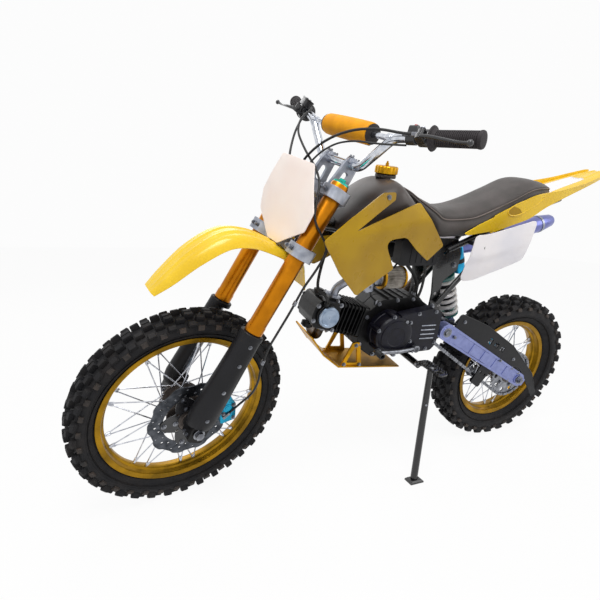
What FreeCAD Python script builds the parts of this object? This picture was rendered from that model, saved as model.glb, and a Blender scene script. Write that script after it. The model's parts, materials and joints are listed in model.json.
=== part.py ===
import FreeCAD, Part
import math
import os
import Sketcher

# An off-road motorcycle with a horizontal single-cylinder engine, leaning on its side stand.
# Millimetres and degrees. +X is forward, +Y is the rider's left, +Z is up.

V = FreeCAD.Vector
X, Y, Z = V(1, 0, 0), V(0, 1, 0), V(0, 0, 1)
ORIGIN = V(0, 0, 0)

doc = FreeCAD.newDocument("OffRoadMotorcycle")
sheet = doc.addObject("Spreadsheet::Sheet", "Sizes")

# alias, value
SIZES = (
    ("wheelbase", 1150), ("lean_angle", 10.5), ("steer_rest", 11.7), ("rake_angle", 27),
    ("fork_offset", 56), ("fork_half_spacing", 95), ("seat_gap", 0.3),
    ("front_tyre_height", 65), ("front_tyre_half_width", 38), ("front_rim_radius", 225),
    ("front_rim_half_width", 24), ("front_lugs", 24),
    ("rear_tyre_height", 83), ("rear_tyre_half_width", 49), ("rear_rim_radius", 193),
    ("rear_rim_half_width", 29), ("rear_lugs", 20), ("lug_depth", 12),
    ("axle_radius", 7.5), ("axle_clearance", 0.5), ("axle_nut_height", 8),
    ("axle_thread_end", 3), ("spoke_count", 36), ("spoke_width", 3),
    ("hub_flange_radius", 56), ("hub_flange_y", 29), ("hub_barrel_radius", 30), ("hub_half_length", 60),
    ("disc_seat_radius", 34), ("front_disc_radius", 110), ("front_disc_y", 52), ("disc_thickness", 3.5),
    ("rear_disc_radius", 95), ("rear_disc_y", 57), ("disc_waves", 10),
    ("slider_radius", 17), ("fork_tube_radius", 22), ("fork_tube_bottom", 292), ("fork_tube_top", 702),
    ("axle_lug_radius", 23), ("guard_radius", 31), ("guard_wall", 3), ("guard_bottom", 13),
    ("lower_clamp_bottom", 505), ("lower_clamp_height", 30), ("upper_clamp_bottom", 662),
    ("upper_clamp_height", 28), ("clamp_wall", 8), ("stem_radius", 14),
    ("head_tube_radius", 26),
    ("backbone_radius", 20), ("pivot_x", 382), ("pivot_z", 492), ("pivot_boss_radius", 16),
    ("pivot_bolt_radius", 8), ("frame_plate_y", 47), ("frame_plate_wall", 6), ("rail_radius", 9),
    ("crank_x", 571), ("crank_z", 494), ("cylinder_tilt", 15), ("case_half_width", 50),
    ("case_bottom", 405),
    ("deck_reach", 90), ("barrel_length", 76), ("fin_half_size", 48), ("fin_wall", 2.6), ("fin_count", 6),
    ("head_length", 86), ("head_half_width", 50), ("head_half_height", 46),
    ("cover_radius", 62), ("cover_face_y", 106), ("drive_x", 450), ("drive_z", 518),
    ("chain_pitch", 12.7), ("drive_teeth", 15), ("wheel_teeth", 41), ("chain_y", 62),
    ("sprocket_wall", 4), ("chain_gap", 0.8), ("chain_plate_wall", 2), ("chain_half_height", 5.5),
    ("arm_y", 78), ("arm_width", 28), ("arm_front_radius", 27), ("arm_rear_radius", 24),
    ("shock_eye_back", 84), ("shock_eye_up", 40), ("shock_top_x", 370), ("shock_top_z", 690),
    ("shock_eye_radius", 14), ("shock_bolt_radius", 6), ("spring_radius", 36), ("shock_body_radius", 22),
    ("reservoir_radius", 18), ("reservoir_back", 60), ("reservoir_length", 92),
    ("intake_y", 35), ("intake_z", 650), ("filter_radius", 32), ("filter_length", 76),
    ("exhaust_radius", 14), ("silencer_radius", 30), ("silencer_y", 104),
    ("tank_cap_x", 626), ("tank_cap_radius", 30), ("tank_cap_height", 36), ("shroud_wall", 3),
    ("fender_wall", 3), ("panel_y", 136), ("panel_wall", 3), ("panel_stud_radius", 6),
    ("skid_wall", 4), ("skid_half_width", 60), ("peg_bar_x", 470), ("peg_bar_z", 393),
    ("peg_bar_radius", 10), ("peg_length", 86), ("peg_width", 34),
    ("stand_x", 440), ("stand_y", 124), ("stand_z", 396), ("stand_foot_x", 472), ("stand_foot_y", 207),
    ("stand_radius", 9), ("stand_head_radius", 13), ("stand_pin_radius", 5),
    ("bar_radius", 11), ("bar_bend_radius", 45), ("bar_half_width", 345), ("bar_clamp_x", 18),
    ("riser_height", 72), ("bar_bend_x", 46), ("bar_bend_y", 162), ("bar_bend_rise", 80),
    ("bar_end_x", 14), ("bar_end_rise", 128),
    ("cross_bar_radius", 7), ("pad_radius", 26), ("pad_half_length", 88),
    ("grip_radius", 17), ("grip_length", 104), ("riser_y", 42), ("riser_wall", 6),
    ("plate_wall", 3), ("hose_radius", 3), ("cable_radius", 3),
)
for row, (alias, value) in enumerate(SIZES, 1):
    sheet.set(f"A{row}", alias)
    sheet.set(f"B{row}", str(value))
    sheet.setAlias(f"B{row}", alias)
doc.recompute()


class SheetSizes:
    """Reads a size from the sheet by its alias."""

    def __getattr__(self, alias):
        return float(sheet.get(alias))


sz = SheetSizes()


# Frames, each a placement in the upright machine's frame

def at(x=0, y=0, z=0, axis=Z, angle=0):
    return FreeCAD.Placement(V(x, y, z), FreeCAD.Rotation(axis, angle))


front_tyre_radius = sz.front_rim_radius + sz.front_tyre_height
rear_tyre_radius = sz.rear_rim_radius + sz.rear_tyre_height
rear_axle_at = V(0, 0, rear_tyre_radius)
front_axle_at = V(sz.wheelbase, 0, front_tyre_radius)
rake_turn = FreeCAD.Rotation(Y, -sz.rake_angle)
fork_frame = FreeCAD.Placement(front_axle_at - rake_turn.multVec(V(sz.fork_offset, 0, 0)), rake_turn)
steered_fork_frame = fork_frame * at(axis=Z, angle=sz.steer_rest)
front_wheel_frame = steered_fork_frame * at(sz.fork_offset, axis=Y, angle=sz.rake_angle)
rear_wheel_frame = FreeCAD.Placement(rear_axle_at, FreeCAD.Rotation())
arm_span = V(sz.pivot_x, 0, sz.pivot_z) - rear_axle_at
arm_length = arm_span.Length
arm_frame = FreeCAD.Placement(rear_axle_at, FreeCAD.Rotation(X, arm_span))
engine_frame = at(sz.crank_x, 0, sz.crank_z, Y, -sz.cylinder_tilt)
shock_foot = arm_frame.multVec(V(arm_length - sz.shock_eye_back, 0, sz.shock_eye_up))
shock_span = V(sz.shock_top_x, 0, sz.shock_top_z) - shock_foot
shock_length = shock_span.Length
shock_frame = FreeCAD.Placement(shock_foot, FreeCAD.Rotation(Z, shock_span))


# start and end across the tread as shares of its half width, lug top below the crown, turn in pitches
LUG_ROWS = ((-0.98, -0.36, 5, 0.5), (-0.3, 0.3, 0, 0), (0.36, 0.98, 5, 0.5))
# A lug covers one of the two flat facets in each pitch of the carcass
LUG_SHARE = 0.5


def lowest_point(frame, radius, half_width, lugs):
    """Height of the lowest corner of a tyre's lugs."""
    heights = []
    for start, stop, drop, phase in LUG_ROWS:
        for i in range(int(lugs)):
            for turn in (i + phase - LUG_SHARE / 2, i + phase + LUG_SHARE / 2):
                angle = 2 * math.pi * turn / lugs
                for place in (start, stop):
                    corner = V((radius - drop) * math.cos(angle), place * half_width,
                               (radius - drop) * math.sin(angle))
                    heights.append(frame.multVec(corner).z)
    return min(heights)


# The machine leans to its left, then is set level on both tyres
parked = at(axis=X, angle=-sz.lean_angle)
for settle in range(4):
    rear_low = lowest_point(parked * rear_wheel_frame, rear_tyre_radius, sz.rear_tyre_half_width,
                            sz.rear_lugs)
    front_low = lowest_point(parked * front_wheel_frame, front_tyre_radius, sz.front_tyre_half_width,
                             sz.front_lugs)
    pitch = math.degrees((front_low - rear_low) / sz.wheelbase)
    parked = at(z=-rear_low) * at(axis=Y, angle=pitch) * parked
stand_head = V(sz.stand_x, sz.stand_y, sz.stand_z)


# Helpers

def bound(kind, name, placement=None, **expressions):
    """A document object with its sizes bound to the sheet."""
    thing = doc.addObject(kind, name)
    for prop, expression in expressions.items():
        thing.setExpression(prop, expression)
    if placement:
        thing.Placement = placement
    return thing


def cylinder(name, placement, radius, height):
    return bound("Part::Cylinder", name, placement, Radius=radius, Height=height)


def along_y(x, y, z):
    """Placement that turns a cylinder's height along +Y."""
    return at(x, y, z, X, -90)


def box(name, placement, length, width, height):
    return bound("Part::Box", name, placement, Length=length, Width=width, Height=height)


def shaped(name, shape, placement=None):
    thing = doc.addObject("Part::Feature", name)
    thing.Shape = shape
    if placement:
        thing.Placement = placement
    return thing


def fused(name, *things):
    union = doc.addObject("Part::MultiFuse", name)
    union.Shapes = list(things)
    return union


def cut(name, base, *tools):
    difference = doc.addObject("Part::Cut", name)
    difference.Base = base
    difference.Tool = tools[0] if len(tools) == 1 else fused(name + "Tools", *tools)
    return difference


def mirrored(name, source):
    twin = doc.addObject("Part::Mirroring", name)
    twin.Source = source
    twin.Normal = Y
    return twin


def pair(name, source):
    """The piece and its twin on the other side of the machine, in one node."""
    both = doc.addObject("Part::Compound", name)
    both.Links = [source, mirrored(name + "Twin", source)]
    return both


def rounded_wire(corners, plane):
    """A closed wire through corners (a, b, corner radius), in the plane that plane(a, b) gives."""
    points = [plane(a, b) for a, b, radius in corners]
    edges, ends = [], []
    for i, (a, b, radius) in enumerate(corners):
        corner = points[i]
        back = (points[i - 1] - corner).normalize()
        ahead = (points[(i + 1) % len(points)] - corner).normalize()
        half = back.getAngle(ahead) / 2
        if radius:
            reach = radius / math.tan(half)
            middle = corner + (back + ahead).normalize() * (radius / math.sin(half) - radius)
            ends.append((corner + back * reach, middle, corner + ahead * reach))
        else:
            ends.append((corner, None, corner))
    for i, (start, middle, stop) in enumerate(ends):
        if middle:
            edges.append(Part.Arc(start, middle, stop).toShape())
        following = ends[(i + 1) % len(ends)][0]
        if stop.distanceToPoint(following) > 1e-6:
            edges.append(Part.LineSegment(stop, following).toShape())
    return Part.Wire(edges)


def side_plane(a, b):
    return V(a, 0, b)


def cross_plane(a, b):
    return V(0, a, b)


def flat_plane(a, b):
    return V(a, b, 0)


def extruded(name, wires, direction, length, placement=None):
    """A plate from an outline and its holes; length is an expression."""
    outline = shaped(name + "Outline", Part.makeFace(wires, "Part::FaceMakerBullseye"))
    plate = doc.addObject("Part::Extrusion", name)
    plate.Base = outline
    plate.DirMode = "Custom"
    plate.Dir = direction
    plate.Solid = True
    plate.setExpression("LengthFwd", length)
    if placement:
        plate.Placement = placement
    return plate


def circle_wire(a, b, radius, plane, normal):
    return Part.Wire(Part.makeCircle(radius, plane(a, b), normal))


def bent_path(points, bend):
    """Straight runs joined by tangent arcs of radius bend, or else as large as the runs allow."""
    edges, start, radii = [], points[0], []
    for before, corner, after in zip(points, points[1:], points[2:]):
        back, ahead = before - corner, after - corner
        run = min(back.Length, ahead.Length)
        half = back.getAngle(ahead) / 2
        reach = 0.45 * run
        if bend:
            reach = min(reach, bend / math.tan(half))
        radius = reach * math.tan(half)
        radii.append(radius)
        back.normalize()
        ahead.normalize()
        middle = corner + (back + ahead).normalize() * (radius / math.sin(half) - radius)
        arc_start, arc_end = corner + back * reach, corner + ahead * reach
        edges.append(Part.LineSegment(start, arc_start).toShape())
        edges.append(Part.Arc(arc_start, middle, arc_end).toShape())
        start = arc_end
    edges.append(Part.LineSegment(start, points[-1]).toShape())
    return Part.Wire(edges), radii


def pipe(name, points, radius, placement=None, bend=None):
    """A round bar or tube along a bent path; radius is an expression."""
    path, radii = bent_path([V(*point) for point in points], bend)
    spine = shaped(name + "Path", path)
    start, second = V(*points[0]), V(*points[1])
    section = bound("Part::Circle", name + "Section", Radius=radius)
    section.Placement = FreeCAD.Placement(start, FreeCAD.Rotation(Z, second - start))
    sweep = doc.addObject("Part::Sweep", name)
    sweep.Sections = [section]
    sweep.Spine = spine
    sweep.Solid = True
    sweep.Frenet = False
    if placement:
        sweep.Placement = placement
    return sweep


def loft(name, wires, placement=None):
    """A ruled loft through closed wires."""
    return shaped(name, Part.makeLoft(wires, True, True), placement)


def sketch_in(body, role, name):
    plane = next(feature for feature in body.Origin.OriginFeatures if feature.Role == role)
    sketch = body.newObject("Sketcher::SketchObject", name)
    sketch.AttachmentSupport = [(plane, "")]
    sketch.MapMode = "FlatFace"
    return sketch


def value_of(expression):
    """The number that an expression over the sheet gives now."""
    for alias in sorted((alias for alias, value in SIZES), key=len, reverse=True):
        expression = expression.replace("Sizes." + alias, repr(getattr(sz, alias)))
    total = doc.getObject("Measure") or doc.addObject("App::FeaturePython", "Measure")
    if not hasattr(total, "Number"):
        total.addProperty("App::PropertyFloat", "Number")
    return float(total.evalExpression(expression))


def polygon(sketch, points):
    """A closed outline whose corners (x, y) are expressions over the sheet."""
    corners = [V(value_of(x), value_of(y), 0) for x, y in points]
    lines = [Part.LineSegment(corner, corners[(i + 1) % len(corners)])
             for i, corner in enumerate(corners)]
    first = sketch.GeometryCount
    sketch.addGeometry(lines, False)
    for i in range(len(lines)):
        following = (i + 1) % len(lines)
        sketch.addConstraint(Sketcher.Constraint("Coincident", first + i, 2, first + following, 1))
    for i, (x, y) in enumerate(points):
        for kind, expression, number in (("DistanceX", x, corners[i].x), ("DistanceY", y, corners[i].y)):
            index = sketch.addConstraint(Sketcher.Constraint(kind, first + i, 1, number))
            sketch.setExpression(f"Constraints[{index}]", expression)


def turned(name, profile, placement=None):
    """A body turned about its own Y axis; profile lists (radius, place along Y) expressions."""
    body = doc.addObject("PartDesign::Body", name)
    sketch = sketch_in(body, "XY_Plane", name + "Profile")
    polygon(sketch, profile)
    turn = body.newObject("PartDesign::Revolution", name + "Turn")
    turn.Profile = sketch
    turn.ReferenceAxis = (sketch, ["V_Axis"])
    turn.Angle = 360
    sketch.Visibility = False
    if placement:
        body.Placement = placement
    return body


def ring_profile(inner, outer, low, high):
    return [(inner, low), (outer, low), (outer, high), (inner, high)]


kept = []


def keep(label, thing, frame=None):
    """Registers a finished piece under its node name, in the upright machine's frame."""
    thing.Label = label
    kept.append((label, thing, frame or FreeCAD.Placement()))


# Wheels

def toothed_wire(count, root, tip, share, phase, y):
    """A ring outline with count square teeth; share is the tooth's part of a pitch."""
    points = []
    for i in range(int(count)):
        centre = 2 * math.pi * (i + phase) / count
        half = share * math.pi / count
        for angle, radius in ((-half, root), (-half, tip), (half, tip), (half, root)):
            points.append(V(radius * math.cos(centre + angle), y, radius * math.sin(centre + angle)))
    return Part.makePolygon(points + points[:1])


def many_sided_wire(radius, facets, y):
    """A regular outline with corners at radius, its first facet across the X axis."""
    points = []
    for i in range(facets):
        angle = 2 * math.pi * (i + 0.5) / facets
        points.append(V(radius * math.cos(angle), y, radius * math.sin(angle)))
    return Part.makePolygon(points + points[:1])


def faceted_ring(profile, facets):
    """A ring about Y with flat facets; profile lists its section's corners (radius, y)."""
    wires = [many_sided_wire(radius, facets, y) for radius, y in profile]
    faces = []
    for near, far in zip(wires, wires[1:] + wires[:1]):
        for i in range(facets):
            a, b = (near.Vertexes[k % facets].Point for k in (i, i + 1))
            c, d = (far.Vertexes[k % facets].Point for k in (i + 1, i))
            faces.append(Part.Face(Part.makePolygon([a, b, c, d, a])))
    return Part.makeSolid(Part.makeShell(faces))


def make_tyre(label, frame, end):
    height = getattr(sz, end + "_tyre_height")
    half = getattr(sz, end + "_tyre_half_width")
    rim = getattr(sz, end + "_rim_radius")
    seat = getattr(sz, end + "_rim_half_width")
    lugs = getattr(sz, end + "_lugs")
    radius = rim + height
    crown_drop = 2
    tread = radius - sz.lug_depth - crown_drop
    # radius, place along the axis, from the bead to the crown
    side = ((rim - 8, seat - 4.3), (rim + 1, seat - 4.3), (rim + 0.42 * height, half),
            (rim + 0.7 * height, 0.9 * half), (tread, 0.45 * half))
    facets = 2 * int(lugs)
    carcass = faceted_ring(list(side) + [(r, -y) for r, y in reversed(side)], facets)
    rings = []
    for start, stop, drop, phase in LUG_ROWS:
        wires = [toothed_wire(lugs, tread + crown_drop, radius - drop, LUG_SHARE, phase, 0),
                 many_sided_wire(rim + 0.5 * height, facets, 0)]
        ring = Part.makeFace(wires, "Part::FaceMakerBullseye").extrude(V(0, (stop - start) * half, 0))
        ring.translate(V(0, start * half, 0))
        rings.append(ring)
    keep(label, shaped(label, carcass.fuse(rings).removeSplitter()), frame)


def make_rim(label, frame, end):
    rim, seat = f"Sizes.{end}_rim_radius", f"Sizes.{end}_rim_half_width"
    # depth below the flange, place across the rim as a sum with its half width
    upper = ((0, f"{seat}"), (0, f"{seat} - 3"), (11, f"{seat} - 4"), (13, "8"), (20, "5"))
    lower = ((24, "6"), (17, "10"), (14, f"{seat}"))
    profile = [(f"{rim} - {depth}", place) for depth, place in upper]
    profile += [(f"{rim} - {depth}", f"-({place})") for depth, place in reversed(upper)]
    profile += [(f"{rim} - {depth}", f"-({place})") for depth, place in reversed(lower)]
    profile += [(f"{rim} - {depth}", place) for depth, place in lower]
    keep(label, turned(label, profile), frame)


def make_hub(label, frame, end, left_end, right_end):
    """Hub with its spokes; the ends are where its seats for disc and sprocket stop."""
    bore = "Sizes.axle_radius + Sizes.axle_clearance"
    flange, place = "Sizes.hub_flange_radius", "Sizes.hub_flange_y"
    barrel, neck = "Sizes.hub_barrel_radius", "Sizes.disc_seat_radius"
    left = ((neck, f"{left_end}"), (neck, f"{place} + 6"), (flange, f"{place} + 4"), (flange, place),
            (barrel, f"{place} - 8"))
    right = ((neck, f"{right_end}"), (neck, f"{place} + 6"), (flange, f"{place} + 4"), (flange, place),
             (barrel, f"{place} - 8"))
    profile = [(bore, f"{left_end}")] + list(left)
    profile += [(radius, f"-({y})") for radius, y in reversed(right)] + [(bore, f"-({right_end})")]
    hub = turned(label + "Barrel", profile)
    rim = getattr(sz, end + "_rim_radius") - 24 - sz.seat_gap
    start_radius = sz.hub_flange_radius - 5
    width = sz.spoke_width
    spokes = []
    for i in range(int(sz.spoke_count)):
        turn = 360 * i / sz.spoke_count
        side = 1 if i % 2 else -1
        lead = 50 if i % 4 < 2 else -50
        start = V(start_radius, side * (sz.hub_flange_y + 2), 0)
        stop = at(axis=Y, angle=lead).multVec(V(rim, side * 2, 0))
        square = Part.makeBox(width, width, (stop - start).Length, V(-width / 2, -width / 2, 0))
        square.Placement = FreeCAD.Placement(start, FreeCAD.Rotation(Z, stop - start))
        square.rotate(ORIGIN, Y, turn)
        spokes.append(square)
    inside = Part.makeCylinder(rim, 200, V(0, -100, 0), Y)
    fan = shaped(label + "Spokes", spokes[0].fuse(spokes[1:]).common(inside))
    keep(label, fused(label, hub, fan), frame)


def make_disc(label, frame, radius_alias, place, direction):
    """Wavy brake disc with slots, bored to its seat on the hub."""
    outer = getattr(sz, radius_alias)
    bore = sz.disc_seat_radius + sz.seat_gap
    waves = int(sz.disc_waves)
    points = []
    for i in range(waves):
        for share, radius in ((0, outer), (0.3, outer), (0.5, outer - 7), (0.8, outer - 7)):
            angle = 2 * math.pi * (i + share) / waves
            points.append(V(radius * math.cos(angle), 0, radius * math.sin(angle)))
    wires = [Part.makePolygon(points + points[:1]), circle_wire(0, 0, bore, side_plane, Y)]
    inner, middle = bore + 10, outer - 34
    for i in range(waves // 2):
        centre = 4 * math.pi * i / waves
        window = [(inner, -0.42), (middle, -0.5), (middle, 0.5), (inner, 0.42)]
        wires.append(rounded_wire(
            [(r * math.cos(centre + a), r * math.sin(centre + a), 4) for r, a in window], side_plane))
    disc = extruded(label, wires, Y * direction, "Sizes.disc_thickness", at(y=place * direction))
    keep(label, disc, frame)


def make_sprocket(label, frame):
    pitch_radius = sz.chain_pitch / 2 / math.sin(math.pi / sz.wheel_teeth)
    y = sz.chain_y - sz.sprocket_wall / 2
    wires = [toothed_wire(sz.wheel_teeth, pitch_radius - 4, pitch_radius + 3, 0.3, 0, 0)]
    wires.append(circle_wire(0, 0, sz.disc_seat_radius + sz.seat_gap, side_plane, Y))
    inner, outer = sz.disc_seat_radius + 9, pitch_radius - 13
    for i in range(5):
        centre = 2 * math.pi * i / 5
        window = [(inner, -0.4), (outer, -0.45), (outer, 0.45), (inner, 0.4)]
        wires.append(rounded_wire(
            [(r * math.cos(centre + a), r * math.sin(centre + a), 4) for r, a in window], side_plane))
    keep(label, extruded(label, wires, Y, "Sizes.sprocket_wall", at(y=y)), frame)


make_tyre("front_tyre", front_wheel_frame, "front")
make_rim("front_rim", front_wheel_frame, "front")
make_hub("front_hub", front_wheel_frame, "front", "Sizes.hub_half_length", "Sizes.hub_half_length - 10")
make_disc("front_disc", front_wheel_frame, "front_disc_radius", sz.front_disc_y, 1)
make_tyre("rear_tyre", rear_wheel_frame, "rear")
make_rim("rear_rim", rear_wheel_frame, "rear")
make_hub("rear_hub", rear_wheel_frame, "rear", "Sizes.hub_half_length + 8", "Sizes.hub_half_length + 6")
make_disc("rear_disc", rear_wheel_frame, "rear_disc_radius", sz.rear_disc_y, -1)
make_sprocket("rear_sprocket", rear_wheel_frame)


# Fork, steered

def clamp_outline(reach):
    """Half outline corners of a fork clamp round the stem and both legs."""
    legs, span = sz.fork_offset, sz.fork_half_spacing
    wall = sz.fork_tube_radius + sz.clamp_wall
    return [(-reach, -reach, 12), (legs - wall, -span - wall + 6, 14), (legs + wall, -span - wall + 6, 14),
            (legs + wall, -span + 22, 10), (legs + 4, -span + 48, 12), (legs + 4, span - 48, 12),
            (legs + wall, span - 22, 10), (legs + wall, span + wall - 6, 14),
            (legs - wall, span + wall - 6, 14), (-reach, reach, 12)]


def make_clamp(name, bottom, height):
    wires = [rounded_wire(clamp_outline(26), flat_plane)]
    bore = sz.fork_tube_radius + sz.seat_gap
    for side in (1, -1):
        wires.append(circle_wire(sz.fork_offset, side * sz.fork_half_spacing, bore, flat_plane, Z))
    return extruded(name, wires, Z, height, at(z=bottom))


lower_clamp = make_clamp("LowerClampPlate", sz.lower_clamp_bottom, "Sizes.lower_clamp_height")
stem = cylinder("SteeringStem", at(z=sz.lower_clamp_bottom + 1), "Sizes.stem_radius",
                "Sizes.upper_clamp_bottom - Sizes.lower_clamp_bottom - 1 - Sizes.seat_gap")
keep("lower_clamp", fused("LowerClamp", lower_clamp, stem), steered_fork_frame)

upper_clamp = make_clamp("UpperClampPlate", sz.upper_clamp_bottom, "Sizes.upper_clamp_height")
clamp_top = sz.upper_clamp_bottom + sz.upper_clamp_height
bar_clamp_z = clamp_top + sz.riser_height
riser_low = clamp_top - 1
riser_top = bar_clamp_z + 16
slot_top = bar_clamp_z - 25
riser_wires = [rounded_wire([(-10, riser_low, 0), (50, riser_low, 0), (42, riser_top, 12),
                             (2, riser_top, 12)], side_plane),
               circle_wire(sz.bar_clamp_x, bar_clamp_z, sz.bar_radius + sz.seat_gap, side_plane, Y),
               rounded_wire([(10, riser_low + 12, 8), (30, riser_low + 12, 8), (28, slot_top, 8),
                             (12, slot_top, 8)], side_plane)]
riser = extruded("Riser", riser_wires, Y, "Sizes.riser_wall", at(y=sz.riser_y))
keep("upper_clamp", fused("UpperClamp", upper_clamp, riser, mirrored("RiserTwin", riser)),
     steered_fork_frame)

leg = at(sz.fork_offset, sz.fork_half_spacing)
tube = cylinder("ForkTube", leg * at(z=sz.fork_tube_bottom), "Sizes.fork_tube_radius",
                "Sizes.fork_tube_top - Sizes.fork_tube_bottom")
keep("fork_tubes", pair("ForkTubes", tube), steered_fork_frame)

slider = cylinder("Slider", leg, "Sizes.slider_radius", "Sizes.fork_tube_bottom - Sizes.seat_gap")
lug = cylinder("AxleLug", leg * at(z=-26), "Sizes.axle_lug_radius", "80")
slider_bore = cylinder("SliderAxleBore", along_y(sz.fork_offset, sz.fork_half_spacing - 40, 0),
                       "Sizes.axle_radius + Sizes.seat_gap", "80")
slider_leg = cut("SliderLeg", fused("SliderSolid", slider, lug), slider_bore)
keep("fork_sliders", pair("ForkSliders", slider_leg), steered_fork_frame)


def make_guards():
    """A channel round the front and outer side of each slider."""
    outer, inner = sz.guard_radius, sz.guard_radius - sz.guard_wall
    height = sz.fork_tube_bottom - sz.seat_gap - sz.guard_bottom
    shell = Part.makeCylinder(outer, height).cut(Part.makeCylinder(inner, height))
    sector = [ORIGIN]
    for angle in range(150, 296, 29):
        sector.append(V(80 * math.cos(math.radians(angle)), 80 * math.sin(math.radians(angle)), 0))
    shell = shell.cut(Part.Face(Part.makePolygon(sector + sector[:1])).extrude(V(0, 0, height)))
    top = Part.makeCylinder(outer, 12, V(0, 0, height - 12)).cut(
        Part.makeCylinder(sz.slider_radius + sz.seat_gap, 12, V(0, 0, height - 12)))
    guard = shaped("Guard", shell.fuse(top), leg * at(z=sz.guard_bottom))
    keep("fork_guards", pair("ForkGuards", guard), steered_fork_frame)


make_guards()

front_axle_half = sz.fork_half_spacing + 30
axle = cylinder("FrontAxleBar", along_y(sz.fork_offset, -front_axle_half, 0), "Sizes.axle_radius",
                "2 * (Sizes.fork_half_spacing + 30)")
nut_low = sz.fork_half_spacing + sz.axle_lug_radius + sz.seat_gap
axle_nut = cylinder("FrontAxleNut", along_y(sz.fork_offset, nut_low, 0), "Sizes.axle_radius + 5", "6")
spacer = cylinder("FrontSpacer", along_y(sz.fork_offset, sz.hub_half_length + 1, 0),
                  "Sizes.axle_radius + 5",
                  "Sizes.fork_half_spacing - Sizes.axle_lug_radius - Sizes.hub_half_length - 1.3")
keep("front_axle", fused("FrontAxle", axle, axle_nut, mirrored("FrontAxleNutTwin", axle_nut),
                         spacer, mirrored("FrontSpacerTwin", spacer)), steered_fork_frame)


def channel_wire(centre, along, half_width, drop, wall, rib):
    """A closed channel section: crown at centre, sides that drop, across the path's direction."""
    down = along.cross(Y).normalize()
    if down.z > 0:
        down = down * -1
    # place across as a share of the half width, depth below the crown
    outer = ((-1, drop), (-0.84, 0.3 * drop), (-0.36, 0.12 * drop), (-0.22, -rib), (0.22, -rib),
             (0.36, 0.12 * drop), (0.84, 0.3 * drop), (1, drop))
    points = [centre + Y * (share * half_width) + down * depth for share, depth in outer]
    inner = [centre + Y * (share * (half_width - wall)) + down * (depth + wall)
             for share, depth in reversed(outer)]
    return Part.makePolygon(points + inner + points[:1])


def make_fender(name, stations, wall, rib):
    """stations: x, z, half width, drop of the sides"""
    wires = []
    for i, (x, z, half_width, drop) in enumerate(stations):
        before = stations[max(i - 1, 0)]
        after = stations[min(i + 1, len(stations) - 1)]
        along = V(after[0] - before[0], 0, after[1] - before[1])
        wires.append(channel_wire(V(x, 0, z), along, half_width, drop, wall, rib))
    return loft(name, wires)


fender_top = sz.lower_clamp_bottom - sz.seat_gap
front_fender = make_fender("FrontFender", (
    (-72, fender_top - 66, 46, 10), (-22, fender_top - 8, 54, 14), (30, fender_top - 4, 58, 18),
    (95, fender_top - 4, 60, 20), (160, fender_top - 12, 60, 22), (217, fender_top - 40, 58, 24),
    (262, fender_top - 105, 54, 22), (303, fender_top - 228, 36, 10)), sz.fender_wall, 4)
keep("front_fender", front_fender, steered_fork_frame)

plate_foot = V(76, 0, sz.lower_clamp_bottom + 4)
plate_tilt = 17
plate_frame = at(plate_foot.x, 0, plate_foot.z, Y, plate_tilt)
number_outline = [(-24, 0, 6), (24, 0, 6), (108, 56, 10), (120, 104, 12), (70, 206, 10), (-70, 206, 10),
                  (-120, 104, 12), (-108, 56, 10)]
number_plate = extruded("NumberPlate", [rounded_wire(number_outline, cross_plane)], X,
                        "Sizes.plate_wall", plate_frame)
stub = cylinder("PlateStub", at(sz.fork_offset + 4 + sz.seat_gap, 0, sz.lower_clamp_bottom + 16, Y, 90),
                "5", "18")
keep("number_plate", fused("NumberPlateWithStub", number_plate, stub), steered_fork_frame)


# Handlebar and controls, steered

bar_bend = V(sz.bar_bend_x, sz.bar_bend_y, bar_clamp_z + sz.bar_bend_rise)
bar_end = V(sz.bar_end_x, sz.bar_half_width, bar_clamp_z + sz.bar_end_rise)
bar_start = V(sz.bar_clamp_x, 78, bar_clamp_z)
half_bar = [(sz.bar_clamp_x, 0, bar_clamp_z), tuple(bar_start), tuple(bar_bend), tuple(bar_end)]
other_half = [(x, -y, z) for x, y, z in reversed(half_bar)]
bar = pipe("Bar", other_half[:-1] + half_bar[1:], "Sizes.bar_radius", bend=sz.bar_bend_radius)
cross_share = 0.95
cross_end = bar_start + (bar_bend - bar_start) * cross_share
cross_bar = cylinder("CrossBar", along_y(cross_end.x, -cross_end.y, cross_end.z),
                     "Sizes.cross_bar_radius", repr(2 * cross_end.y))
keep("handlebar", fused("Handlebar", bar, cross_bar), steered_fork_frame)

pad_bore = "Sizes.cross_bar_radius + Sizes.seat_gap"
pad = turned("BarPad", ring_profile(pad_bore, "Sizes.pad_radius", "-Sizes.pad_half_length",
                                    "Sizes.pad_half_length"),
             at(cross_end.x, 0, cross_end.z))
keep("bar_pad", pad, steered_fork_frame)

bar_run = bar_end - bar_bend
grip_frame = FreeCAD.Placement(bar_end, FreeCAD.Rotation(Y, bar_run))
bar_bore = "Sizes.bar_radius + Sizes.seat_gap"
grip = turned("Grip", [(bar_bore, "2"), (bar_bore, "-Sizes.grip_length"),
                       ("Sizes.grip_radius + 9", "-Sizes.grip_length"),
                       ("Sizes.grip_radius + 9", "-Sizes.grip_length + 4"),
                       ("Sizes.grip_radius", "-Sizes.grip_length + 6"), ("Sizes.grip_radius", "2")],
              grip_frame)
keep("grips", pair("Grips", grip), steered_fork_frame)


def make_lever(name, body_width):
    """A lever with its perch on the bar, inboard of the grip, on the left side."""
    perch = turned(name + "Perch", ring_profile(bar_bore, "Sizes.bar_radius + 7", "0", repr(body_width)))
    perch.Placement = grip_frame * at(y=-sz.grip_length - 4 - body_width)
    inboard = -sz.grip_length - 4 - body_width / 2
    arm = pipe(name + "Arm", [(sz.bar_radius + 2, inboard, -4), (38, inboard + 4, -16),
                              (46, inboard + 45, -24), (42, inboard + 96, -30),
                              (48, inboard + 122, -34)], "4.5", grip_frame)
    return perch, arm


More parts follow.
